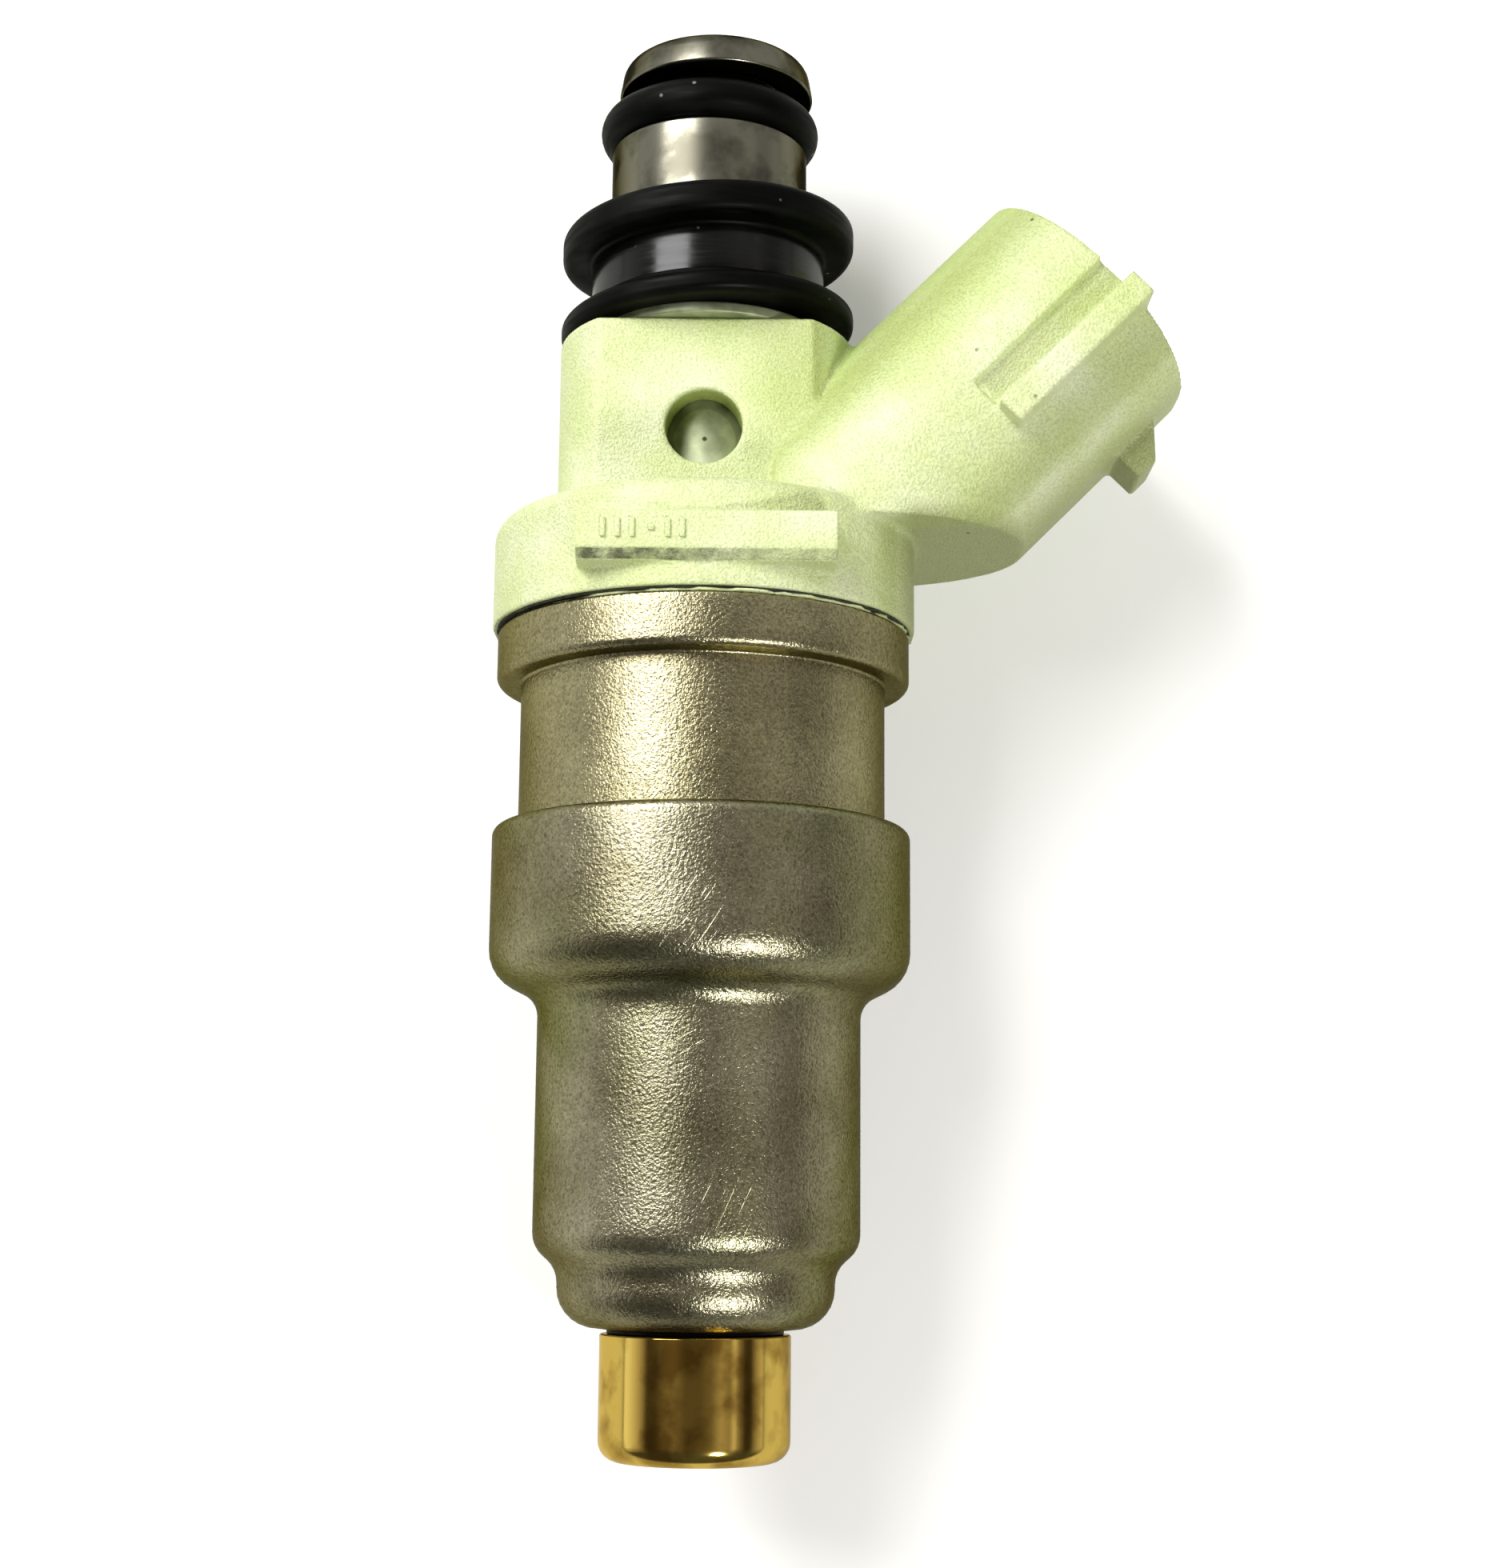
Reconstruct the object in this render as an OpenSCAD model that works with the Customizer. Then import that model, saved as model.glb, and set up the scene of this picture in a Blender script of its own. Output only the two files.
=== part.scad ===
// Top-feed fuel injector for a petrol engine: a solenoid valve between the fuel
// rail, at the top, and the inlet port, at the bottom.
// The axis of the injector is Z, the nozzle tip is the origin, and the plug
// socket leans towards +X. All sizes are in millimetres.

/* [Nozzle] */
// Radius of the brass sleeve over the nozzle
sleeve_r = 4.72; // [4.4:0.02:4.9]
// Height of the top of the brass sleeve
sleeve_top = 6.1; // [5.8:0.1:6.4]
// Radius of the rounded lower edge of the sleeve
sleeve_edge = 1.0; // [0.5:0.1:1.2]
// Radius of the spray opening in the sleeve
spray_r = 1.6; // [1.2:0.1:2]
// Thickness of the black seal ring above the sleeve
seal_h = 0.25; // [0.2:0.05:0.4]

/* [Valve housing] */
// Radius of the lower cylinder of the housing
lower_r = 8.12; // [8:0.02:8.3]
// Radius of the wide cup at the top of the housing
cup_r = 10.62; // [10.4:0.02:11]
// Height of the rim of the cup
cup_top = 31.15; // [30:0.05:33]
// Height of the widest corner of the shoulder under the cup
shoulder_z = 23.6; // [23.2:0.05:24]
// Radius of the lip around the nozzle
lip_r = 6.87; // [6.7:0.01:7]

/* [Solenoid case] */
// Radius of the case where it shows above the cup
case_r = 9.33; // [9.2:0.01:9.4]
// Radius of the flange at the top of the case
flange_r = 10.58; // [10.4:0.02:10.8]
// Height of the underside of the flange
flange_z = 38.45; // [38.2:0.05:38.7]
// Height of the top of the flange
case_top = 41.1; // [40.5:0.1:41.5]

/* [Moulding] */
// Radius of the collar of the moulding
collar_r = 10.86; // [10.7:0.02:11]
// Height of the underside of the collar
collar_z = 41.3; // [41.2:0.05:41.5]
// Radius of the neck of the moulding
neck_r = 7.7; // [7.5:0.05:7.9]
// Height of the top of the collar, where it rounds over towards the neck
dome_z = 46.65; // [46.2:0.05:47]
// Height of the top of the neck
neck_top = 56.65; // [56:0.05:57]
// Distance from the axis to the flats on the neck
flat_y = 5.45; // [5.2:0.05:5.8]
// Radius of the tooling holes in the flats
tooling_r = 1.95; // [1.5:0.05:2.2]

/* [Plug socket] */
// Lean of the socket above the horizontal, in degrees
socket_lean = 45.2; // [42:0.1:48]
// Offset of the socket's axis below the line through the pivot point
socket_drop = 4.21; // [4:0.01:4.4]
// Distance of the mouth from the pivot point
mouth_s = 24; // [23:0.1:25]
// Half of the socket's outer width in the plane of the lean
socket_w = 6.86; // [6.6:0.02:7.2]
// Half of the socket's outer width across the lean
socket_b = 7.6; // [7.2:0.05:8]
// Thickness of the socket's wall
socket_wall = 1.2; // [1:0.1:1.4]
// Depth of the socket
socket_depth = 12.5; // [12:0.1:13]

/* [Terminals] */
// Width of each terminal blade
blade_w = 2.0; // [1.5:0.1:2.3]
// Thickness of each terminal blade
blade_t = 0.64; // [0.5:0.02:0.8]
// Distance of each blade's middle from the plane of the lean
blade_y = 2.5; // [2.3:0.1:3]
// Distance of the blade tips from the pivot point
blade_s = 17.8; // [16:0.1:18]

/* [Inlet] */
// Radius of the inlet tube
tube_r = 5.18; // [5:0.01:5.3]
// Radius of the inlet tube's head, which narrows a little towards the inlet
head_r = 4.9; // [4.7:0.05:5.2]
// Height of the lower side of the groove for the rail seal
groove_low = 67.67; // [67:0.01:68]
// Height of the upper side of the groove for the rail seal
groove_high = 70.8; // [70.5:0.1:71]
// Overall length of the injector
overall_l = 72.6; // [72.2:0.1:74]
// Radius of the rail seal's section
rail_seal_r = 1.1; // [1:0.05:1.2]
// Outer radius of the rail seal
rail_seal_out = 5.8; // [5.6:0.05:6]

/* [Grommet] */
// Radius of the two flanges of the grommet
grommet_r = 7.7; // [7.5:0.05:8]
// Radius of the waist of the grommet
waist_r = 6.1; // [6:0.05:6.4]
// Height of the top of the grommet
grommet_top = 63.4; // [63:0.1:64]

/* [Valve] */
// Travel of the needle
lift = 0.1; // [0.06:0.01:0.12]
// Height of the gap that the armature closes when it lifts
air_gap = 0.2; // [0.15:0.01:0.3]
// Radius of the armature
armature_r = 4.3; // [4:0.05:4.3]
// Turns of the return spring
spring_turns = 7; // [5:1:9]
// Radius of the spring wire
spring_wire = 0.28; // [0.2:0.01:0.3]

/* [Hidden] */
$fn = 96;

eps = 0.01;
// Heights inside the nozzle, from the tip upwards
plate_z = 1.4;            // underside of the orifice plate
plate_h = 0.35;           // thickness of the orifice plate
nose_z = plate_z + plate_h;
nose_r = 3.2;             // nose of the valve body, which the sleeve grips
lip_z = sleeve_top + seal_h;
body_step = 9.05;         // where the valve body widens
body_r = 5.5;             // wide part of the valve body
stop_z = 22.05;           // underside of the lift stop
stop_h = 1.2;             // thickness of the lift stop
case_z = stop_z + stop_h; // underside of the solenoid case
cup_floor = 24.2;         // floor of the housing's cup
case_floor = 26.2;        // floor of the solenoid case
case_bore = 8.2;          // inside of the solenoid case
// Needle and seat
guide_r = 2.0;            // bore that guides the needle
guide_gap = 0.03;         // running clearance of the guides
stem_r = 1.2;             // plain stem of the needle
seat_r = 0.5;             // hole below the seat
seat_z = 2.3;             // lower edge of the seat
seat_rise = 1.3;          // height of the seat's cone
seat_gap = 0.03;          // modelling gap under the closed needle
collar_h = 1.0;           // stop collar of the needle
collar_gap = lift + 0.05; // room above the stop collar
// Armature, spring and core
armature_z = 23.7;
armature_top = 31;
core_z = armature_top + air_gap;
pocket_z = 28.2;          // where the spring stands in the armature
core_r = 4.6;             // lower end of the core, inside the bobbin
core_bore = 2.0;
moulded_r = 3.5;          // core where the moulding grips it
core_flange_r = 6.2;
core_flange_h = 0.6;
spring_top = 37;
spring_r = 1.5;
// Coil
bobbin_top = 37.2;
bobbin_flange = 1.2;
bobbin_r = 8.1;
bobbin_tube = 5.4;
winding_r = 7.6;
tape_r = 7.75;
yoke_top = 39.2;
// Filter
filter_bore = 3.0;
filter_z = 62;
filter_r = 2.45;
basket_r = 2.05;          // woven basket inside the frame
filter_top = 71.6;
// Plug socket
pivot_z = 45;
arm_floor = 45.9;         // level underside of the socket's arm
arm_root = 3.55;          // where the arm starts on the flats
blade_x = 6.5;            // where the blades rise from the bobbin
blade_bend = (blade_x - socket_drop * sin(socket_lean)) / cos(socket_lean);
blade_bend_z = pivot_z + blade_bend * sin(socket_lean) - socket_drop * cos(socket_lean);

// Points that round the corner c of an outline, between the points a and b, to the radius r
function rounded_corner(a, c, b, r) =
    let (u = (a - c) / norm(a - c),
        v = (b - c) / norm(b - c),
        half = acos(u * v) / 2,
        centre = c + (u + v) / norm(u + v) * r / sin(half),
        first = c + u * r / tan(half) - centre,
        start = atan2(first[1], first[0]),
        turn = (180 - 2 * half) * (u[0] * v[1] - u[1] * v[0] > 0 ? -1 : 1),
        n = max(2, round(abs(turn) / 11)))
    [for (i = [0:n]) centre + r * [cos(start + turn * i / n), sin(start + turn * i / n)]];

// Outline from corners of [radius, height, rounding]
function outline(corners) =
    let (n = len(corners), flat = [for (c = corners) [c[0], c[1]]])
    [for (i = [0:n - 1]) each corners[i][2] > 0
        ? rounded_corner(flat[(i + n - 1) % n], flat[i], flat[(i + 1) % n], corners[i][2])
        : [flat[i]]];

// Points of a level circle, used as one ring of the spring wire
function wire_ring(t, sides) =
    let (a = 360 * spring_turns * t,
        low = pocket_z + spring_wire,
        z = low + (spring_top - pocket_z - 2 * spring_wire) * t)
    [for (i = [0:sides - 1]) let (b = 360 * i / sides)
        [(spring_r + spring_wire * cos(b)) * cos(a),
         (spring_r + spring_wire * cos(b)) * sin(a),
         z + spring_wire * sin(b)]];

// A solid turned from corners of [radius, height, rounding]
module turned(corners) {
    rotate_extrude() polygon(outline(corners));
}

// A washer or tube between two heights
module ring(r_out, r_in, z_low, z_high) {
    translate([0, 0, z_low]) difference() {
        cylinder(r = r_out, h = z_high - z_low);
        translate([0, 0, -1]) cylinder(r = r_in, h = z_high - z_low + 2);
    }
}

// A round seal, by the radius and height of its section's centre
module o_ring(r, z, section) {
    translate([0, 0, z]) rotate_extrude() translate([r, 0]) circle(r = section, $fn = 32);
}

// Puts its child in the frame of the socket: X along it, Z across it in the plane of the lean
module in_socket() {
    translate([0, 0, pivot_z]) rotate([0, -socket_lean, 0])
        translate([0, 0, -socket_drop]) children();
}

// A bar of the socket's long round section between two distances from the pivot
module socket_bar(w, b, s_low, s_high) {
    translate([s_low, 0, 0]) rotate([0, 90, 0]) linear_extrude(s_high - s_low) union() {
        for (side = [-1, 1]) translate([0, side * (b - w)]) circle(r = w);
        square([2 * w, 2 * (b - w)], center = true);
    }
}

module nozzle_sleeve() {
    color("goldenrod") difference() {
        turned([[0, 0, 0], [sleeve_r, 0, sleeve_edge], [sleeve_r, sleeve_top, 0],
            [0, sleeve_top, 0]]);
        translate([0, 0, plate_z]) cylinder(r = nose_r, h = sleeve_top);
        translate([0, 0, -1]) cylinder(r = spray_r, h = sleeve_top);
    }
}

module nozzle_seal_ring() {
    color("black") ring(sleeve_r - 0.35, nose_r, sleeve_top, lip_z);
}

module orifice_plate() {
    color("silver") difference() {
        translate([0, 0, plate_z]) cylinder(r = nose_r - 0.1, h = plate_h);
        for (side = [-1, 1]) translate([side * 0.3, 0, 0]) cylinder(r = 0.15, h = 3, $fn = 24);
    }
}

module valve_body() {
    color("lightsteelblue") difference() {
        union() {
            translate([0, 0, nose_z]) cylinder(r = nose_r, h = body_step);
            translate([0, 0, body_step]) cylinder(r = body_r, h = stop_z - body_step);
        }
        translate([0, 0, seat_z + seat_rise]) cylinder(r = guide_r, h = stop_z);
        translate([0, 0, seat_z]) cylinder(r1 = seat_r, r2 = guide_r, h = seat_rise + eps);
        cylinder(r = seat_r, h = seat_z + eps);
        translate([0, 0, stop_z - collar_gap - collar_h - 0.3]) cylinder(r = 3.3, h = 3);
        ring(body_r + 1, body_r - 0.9, 12, 13.2);
    }
}

module valve_body_o_ring() {
    color("black") o_ring(body_r - 0.45, 12.6, 0.45);
}

module lift_stop_plate() {
    color("gray") difference() {
        ring(body_r, 1.7, stop_z, case_z);
        // slot that lets the plate slide over the stem of the needle
        translate([0, -1.7, stop_z - 1]) cube([body_r + 1, 3.4, stop_h + 2]);
    }
}

module needle_valve() {
    slope = seat_rise / (guide_r - seat_r);
    tip_r = 0.3;
    tip_z = seat_z + seat_gap + (tip_r - seat_r) * slope;
    cone_z = seat_z + seat_gap + (stem_r - seat_r) * slope;
    collar_top = stop_z - collar_gap;
    color("whitesmoke") union() {
        turned([[0, tip_z, 0], [tip_r, tip_z, 0], [stem_r, cone_z, 0],
            [stem_r, pocket_z - 0.5, 0], [0, pocket_z - 0.5, 0]]);
        translate([0, 0, collar_top - collar_h]) cylinder(r = 2.9, h = collar_h);
        // two guide lands with flats that let the fuel past
        for (z = [5, 16]) intersection() {
            translate([0, 0, z]) cylinder(r = guide_r - guide_gap, h = 2.5);
            translate([-1.6, -1.6, z]) cube([3.2, 3.2, 2.5]);
        }
    }
}

module armature() {
    color("dimgray") difference() {
        translate([0, 0, armature_z]) cylinder(r = armature_r, h = armature_top - armature_z);
        translate([0, 0, armature_z - 1]) cylinder(r = stem_r, h = armature_top);
        translate([0, 0, pocket_z]) cylinder(r = core_bore, h = armature_top);
        // fuel passages beside the stem
        for (a = [45:90:315]) rotate([0, 0, a]) translate([3, 0, armature_z - 1])
            cylinder(r = 0.55, h = armature_top, $fn = 24);
    }
}

module return_spring() {
    sides = 6;
    rings = spring_turns * 16;
    points = [for (k = [0:rings]) each wire_ring(k / rings, sides)];
    first = [[for (i = [0:sides - 1]) i]];
    last = [[for (i = [sides - 1:-1:0]) rings * sides + i]];
    skin = [for (k = [0:rings - 1], i = [0:sides - 1]) let (j = (i + 1) % sides)
        [k * sides + i, (k + 1) * sides + i, (k + 1) * sides + j, k * sides + j]];
    color("silver") polyhedron(points, concat(first, skin, last));
}

module valve_housing() {
    color("darkkhaki") turned([
        [nose_r, lip_z, 0], [lip_r, lip_z, 1.95], [lip_r, 9.2, 1.5], [lower_r, 10.25, 1.5],
        [lower_r, shoulder_z - 1.25, 1.3], [cup_r, shoulder_z, 2.05],
        [cup_r, cup_top - 0.12, 0.5], [case_r, cup_top, 0], [case_r, cup_floor, 0],
        [body_r, cup_floor, 0], [body_r, body_step, 0], [nose_r, body_step, 0]]);
}

module solenoid_case() {
    color("khaki") turned([
        [core_r, case_z, 0], [body_r, case_z, 0], [body_r, cup_floor, 0],
        [case_r, cup_floor, 0], [case_r, flange_z, 0.15], [flange_r, flange_z, 0.4],
        [flange_r, case_top, 0.2], [case_bore, case_top, 0], [case_bore, case_floor, 0],
        [core_r, case_floor, 0]]);
}

module coil_bobbin() {
    color("tan") difference() {
        union() {
            ring(bobbin_tube, core_r, case_floor, bobbin_top);
            ring(bobbin_r, core_r, case_floor, case_floor + bobbin_flange);
            ring(bobbin_r, core_r, bobbin_top - bobbin_flange, bobbin_top);
        }
        translate([0, 0, case_floor - 1]) cylinder(r = bobbin_tube, h = 2);
    }
}

module coil_winding() {
    color("chocolate") ring(winding_r, bobbin_tube, case_floor + bobbin_flange,
        bobbin_top - bobbin_flange);
}

module winding_tape() {
    color("cornsilk") ring(tape_r, winding_r, case_floor + bobbin_flange,
        bobbin_top - bobbin_flange);
}

module bobbin_o_ring() {
    color("black") o_ring(core_r + 0.4, case_floor + 0.4, 0.4);
}

module core_o_ring() {
    color("black") o_ring(core_r - 0.45, 34, 0.45);
}

module yoke_washer() {
    color("gray") difference() {
        ring(case_bore, core_r, bobbin_top, yoke_top);
        terminal_notch(bobbin_top - 1, 4);
    }
}

module core_tube() {
    groove_r = rail_seal_out - 2 * rail_seal_r;
    color("lightgray") turned([
        [core_bore, core_z, 0], [core_r, core_z, 0], [core_r, 33.4, 0],
        [core_r - 0.9, 33.4, 0], [core_r - 0.9, 34.6, 0], [core_r, 34.6, 0],
        [core_r, yoke_top, 0], [moulded_r, yoke_top, 0], [moulded_r, neck_top, 0],
        [core_flange_r, neck_top, 0], [core_flange_r, neck_top + core_flange_h, 0],
        [tube_r, neck_top + core_flange_h, 0], [tube_r, groove_low, 0.15],
        [groove_r, groove_low, 0], [groove_r, groove_high, 0], [tube_r, groove_high, 0.12],
        [head_r, overall_l, 0.9], [filter_bore + 0.3, overall_l, 0],
        [filter_bore, overall_l - 0.3, 0], [filter_bore, filter_z, 0],
        [core_bore, filter_z - 1, 0]]);
}

module adjusting_tube() {
    color("goldenrod") ring(core_bore, 1.1, spring_top, 47);
}

module filter_collar() {
    color("gold") ring(filter_bore, filter_r, filter_top - 2, filter_top);
}

module filter_frame() {
    color("ivory") union() {
        ring(filter_r, basket_r, filter_z + 6.4, filter_top);
        translate([0, 0, filter_z + 0.4]) cylinder(r = filter_r, h = 0.8);
        for (a = [0:90:270]) rotate([0, 0, a]) translate([basket_r, -0.3, filter_z + 0.4])
            cube([0.35, 0.6, 7]);
    }
}

module filter_mesh() {
    color("silver") ring(basket_r, basket_r - 0.15, filter_z + 1.2, filter_top - 0.2);
}

// One blade: it rises from the bobbin, bends, and stands in the socket
module terminal(side) {
    color("gold") union() {
        translate([blade_x - blade_t / 2, side * blade_y - blade_w / 2, bobbin_top])
            cube([blade_t, blade_w, blade_bend_z - bobbin_top]);
        translate([blade_x, side * blade_y + blade_w / 2, blade_bend_z]) rotate([90, 0, 0])
            cylinder(r = blade_t / 2, h = blade_w, $fn = 32);
        in_socket() difference() {
            translate([blade_bend, side * blade_y - blade_w / 2, -blade_t / 2])
                cube([blade_s - blade_bend, blade_w, blade_t]);
            // pointed tip
            for (edge = [-1, 1]) translate([blade_s, side * blade_y + edge * blade_w / 2, 0])
                rotate([0, 0, 45]) cube([0.6, 0.6, 2], center = true);
        }
    }
}

module terminal_front() {
    terminal(-1);
}

module terminal_rear() {
    terminal(1);
}

// Collar, dome and neck, without what they are moulded around
module moulding_trunk() {
    difference() {
        turned([
            [0, yoke_top, 0], [case_bore, yoke_top, 0], [case_bore, collar_z, 0],
            [collar_r, collar_z, 0], [collar_r, dome_z, 1.0], [neck_r, dome_z + 0.65, 0.7],
            [neck_r, neck_top, 0], [0, neck_top, 0]]);
        for (side = [-1, 1]) {
            translate([-10, side * (flat_y + 5) - 5, dome_z + 0.9]) cube([20, 10, 20]);
            translate([0, 0, 50.95]) rotate([side * 90, 0, 0])
                translate([0, 0, 1]) cylinder(r = tooling_r, h = 10);
        }
    }
}

// The room for the terminals at one side of the yoke washer
module terminal_notch(z_low, h) {
    translate([blade_x - 1, -blade_y - blade_w, z_low])
        cube([case_bore, 2 * (blade_y + blade_w), h]);
}

// Arm and shell of the plug socket, with the key rib and the latch tab
module socket_shell() {
    intersection() {
        in_socket() difference() {
            union() {
                socket_bar(socket_w, socket_b, -6, mouth_s);
                // key rib beside a shallow relief
                translate([14.8, -8.5, -3.15]) cube([mouth_s - 14.5, 3, 1.5]);
                // latch tab, square to the plug and ramped towards the mouth
                translate([0, 1.7, 0]) rotate([90, 0, 0]) linear_extrude(3.4)
                    polygon([[19.05, 1 - socket_w], [19.05, -8.5], [20.3, -8.5], [22.15, -6.5],
                        [22.15, 1 - socket_w]]);
            }
            translate([14.8, -10.15, -1.65]) cube([mouth_s, 3, 1.7]);
        }
        translate([arm_root, -20, arm_floor]) cube([40, 40, 40]);
    }
}

module connector_moulding() {
    color("palegoldenrod") difference() {
        union() {
            moulding_trunk();
            socket_shell();
            intersection() {
                ring(case_bore, core_r, bobbin_top, yoke_top);
                terminal_notch(bobbin_top, 4);
            }
            // pad for a date mark
            translate([-5.9, 0, 0]) rotate([90, 0, 90]) linear_extrude(12.5)
                polygon([[-11.2, 43], [-10.88, 42.42], [-5.2, 42.4], [-5.2, 44.9], [-11.2, 44.9]]);
        }
        in_socket() socket_bar(socket_w - socket_wall, socket_b - socket_wall,
            mouth_s - socket_depth, mouth_s + 1);
        translate([0, 0, yoke_top - 1]) cylinder(r = moulded_r, h = 40);
        terminal(-1);
        terminal(1);
    }
}

module rail_grommet() {
    low = neck_top + core_flange_h;
    color([0.08, 0.08, 0.08]) turned([
        [tube_r, low, 0], [grommet_r, low, 0.45], [grommet_r, low + 1.05, 0.4],
        [waist_r, low + 1.5, 0.25], [waist_r, grommet_top - 1.8, 0.25],
        [grommet_r, grommet_top - 1.9, 0.5], [grommet_r, grommet_top - 0.25, 0.5],
        [waist_r, grommet_top, 0], [tube_r, grommet_top, 0]]);
}

module rail_o_ring() {
    color("black") o_ring(rail_seal_out - rail_seal_r, groove_low + rail_seal_r + 0.02, rail_seal_r);
}

nozzle_sleeve();
nozzle_seal_ring();
orifice_plate();
valve_body();
valve_body_o_ring();
lift_stop_plate();
needle_valve();
armature();
return_spring();
valve_housing();
solenoid_case();
coil_bobbin();
coil_winding();
winding_tape();
bobbin_o_ring();
core_o_ring();
yoke_washer();
core_tube();
adjusting_tube();
filter_collar();
filter_frame();
filter_mesh();
terminal_front();
terminal_rear();
connector_moulding();
rail_grommet();
rail_o_ring();
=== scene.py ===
"""Looks of a top-feed fuel injector: a brass nozzle sleeve, a blasted steel housing, a
solenoid case, a moulded resin body with its plug socket, a steel inlet tube and its seals."""

import math

import bmesh
import bpy
from bpy.props import FloatProperty, FloatVectorProperty, IntProperty, PointerProperty
from mathutils import Matrix, Vector, noise
from mathutils.kdtree import KDTree


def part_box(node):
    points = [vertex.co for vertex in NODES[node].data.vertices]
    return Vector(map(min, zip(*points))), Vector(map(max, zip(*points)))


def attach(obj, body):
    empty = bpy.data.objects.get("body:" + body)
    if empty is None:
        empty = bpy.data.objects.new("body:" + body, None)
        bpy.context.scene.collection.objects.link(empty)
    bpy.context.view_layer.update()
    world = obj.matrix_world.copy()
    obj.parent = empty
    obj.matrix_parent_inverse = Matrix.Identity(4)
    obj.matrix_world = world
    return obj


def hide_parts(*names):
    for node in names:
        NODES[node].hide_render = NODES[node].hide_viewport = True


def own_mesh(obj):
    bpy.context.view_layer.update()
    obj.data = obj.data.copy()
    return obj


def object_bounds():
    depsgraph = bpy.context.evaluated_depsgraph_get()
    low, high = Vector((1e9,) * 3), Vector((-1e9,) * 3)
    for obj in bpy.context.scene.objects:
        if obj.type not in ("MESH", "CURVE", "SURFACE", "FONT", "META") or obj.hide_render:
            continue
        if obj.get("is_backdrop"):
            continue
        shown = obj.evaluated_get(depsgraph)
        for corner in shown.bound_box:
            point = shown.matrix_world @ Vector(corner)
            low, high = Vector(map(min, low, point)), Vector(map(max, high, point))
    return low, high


bl_info = {
    "name": "Fuel injector",
    "version": (1, 0, 0),
    "blender": (4, 5, 0),
    "location": "View3D > Sidebar > Injector",
    "description": "Models a top-feed fuel injector on its packed frame",
    "category": "Add Mesh",
}

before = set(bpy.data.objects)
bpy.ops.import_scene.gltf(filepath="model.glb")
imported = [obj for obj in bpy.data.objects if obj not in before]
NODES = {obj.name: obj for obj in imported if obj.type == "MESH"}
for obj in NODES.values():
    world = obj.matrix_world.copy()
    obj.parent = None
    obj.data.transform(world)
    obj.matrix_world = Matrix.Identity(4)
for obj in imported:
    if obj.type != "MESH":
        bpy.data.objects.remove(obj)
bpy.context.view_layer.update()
MM = 0.001

# sizes that several pieces share, in millimetres
NOSE_R = 3.2  # hole of the sleeve and of the housing's lower end
BOSS_R = 5.5  # bore of the housing, and the boss of the case that fits it
POLE_R = 4.6  # pole at the lower end of the inlet tube
CASE_R = 9.33  # solenoid case, below its flange
CASE_SEAT = 24.2  # height at which the case stands in the housing
TUBE_R = 5.18  # inlet tube above the moulded body

# directions across and along the arm of the plug socket
ACROSS = (-0.68, 0, 0.733)
ALONG = (0.733, 0, 0.68)

BLACK = (0, 0, 0, 1)
WHITE = (1, 1, 1, 1)


def box_mm(node):
    """Lowest and highest corner of a CAD node, in millimetres."""
    low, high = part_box(node)
    return low / MM, high / MM


def srgb(hex_colour):
    """Linear colour of an sRGB hex value."""
    parts = [int(hex_colour[i : i + 2], 16) / 255 for i in (1, 3, 5)]
    linear = [c / 12.92 if c <= 0.04045 else ((c + 0.055) / 1.055) ** 2.4 for c in parts]
    return (*linear, 1.0)


def colour_setting(name, description, hex_colour):
    """A colour that the user may change."""
    return FloatVectorProperty(
        name=name, description=description, size=4, subtype="COLOR", min=0.0, max=1.0,
        default=srgb(hex_colour),
    )


# ---------------------------------------------------------------- settings


class TurnedSizes(bpy.types.PropertyGroup):
    """Fineness of the turned pieces."""

    steps: IntProperty(
        name="Steps", description="Steps round a turned piece", default=144, min=48, max=256
    )
    stretch: FloatProperty(
        name="Stretch", description="Longest straight stretch of an outline",
        default=0.6 * MM, min=0.1 * MM, max=5 * MM, unit="LENGTH",
    )


class MouldingSizes(bpy.types.PropertyGroup):
    """Sizes of the moulded resin body's finish."""

    voxel: FloatProperty(
        name="Voxel", description="Cell that the moulded body is rebuilt from",
        default=0.14 * MM, min=0.1 * MM, max=1 * MM, unit="LENGTH",
    )
    rounding: IntProperty(
        name="Rounding", description="Smoothing rounds that soften every edge", default=2,
        min=0, max=20,
    )
    triangles: IntProperty(
        name="Triangles", description="Most triangles kept in the moulded body",
        default=185000, min=20000, max=195000,
    )
    fillet: FloatProperty(
        name="Fillet", description="Reach of the soft fillets where the arm leaves the neck",
        default=0.95 * MM, min=0.2 * MM, max=3 * MM, unit="LENGTH",
    )
    fillet_rounds: IntProperty(
        name="Fillet rounds", description="Smoothing rounds of the fillets", default=36,
        min=0, max=200,
    )


class FinishColours(bpy.types.PropertyGroup):
    """Main colours of the resin, the blasted steel and the brass."""

    resin_deep: colour_setting("Resin, deep", "Greenest clouds in the resin", "#CBD992")
    resin: colour_setting("Resin", "Resin between its clouds", "#D4DEA4")
    resin_pale: colour_setting("Resin, pale", "Palest clouds in the resin", "#DFE6BC")
    steel: colour_setting("Steel", "Clean blasted steel", "#A9A489")
    steel_dark: colour_setting("Steel, dark", "Stained blasted steel", "#857F64")
    brass: colour_setting("Brass", "Clean turned brass", "#D9BA5E")
    brass_dark: colour_setting("Brass, dark", "Tarnished turned brass", "#9F7F3A")


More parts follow.
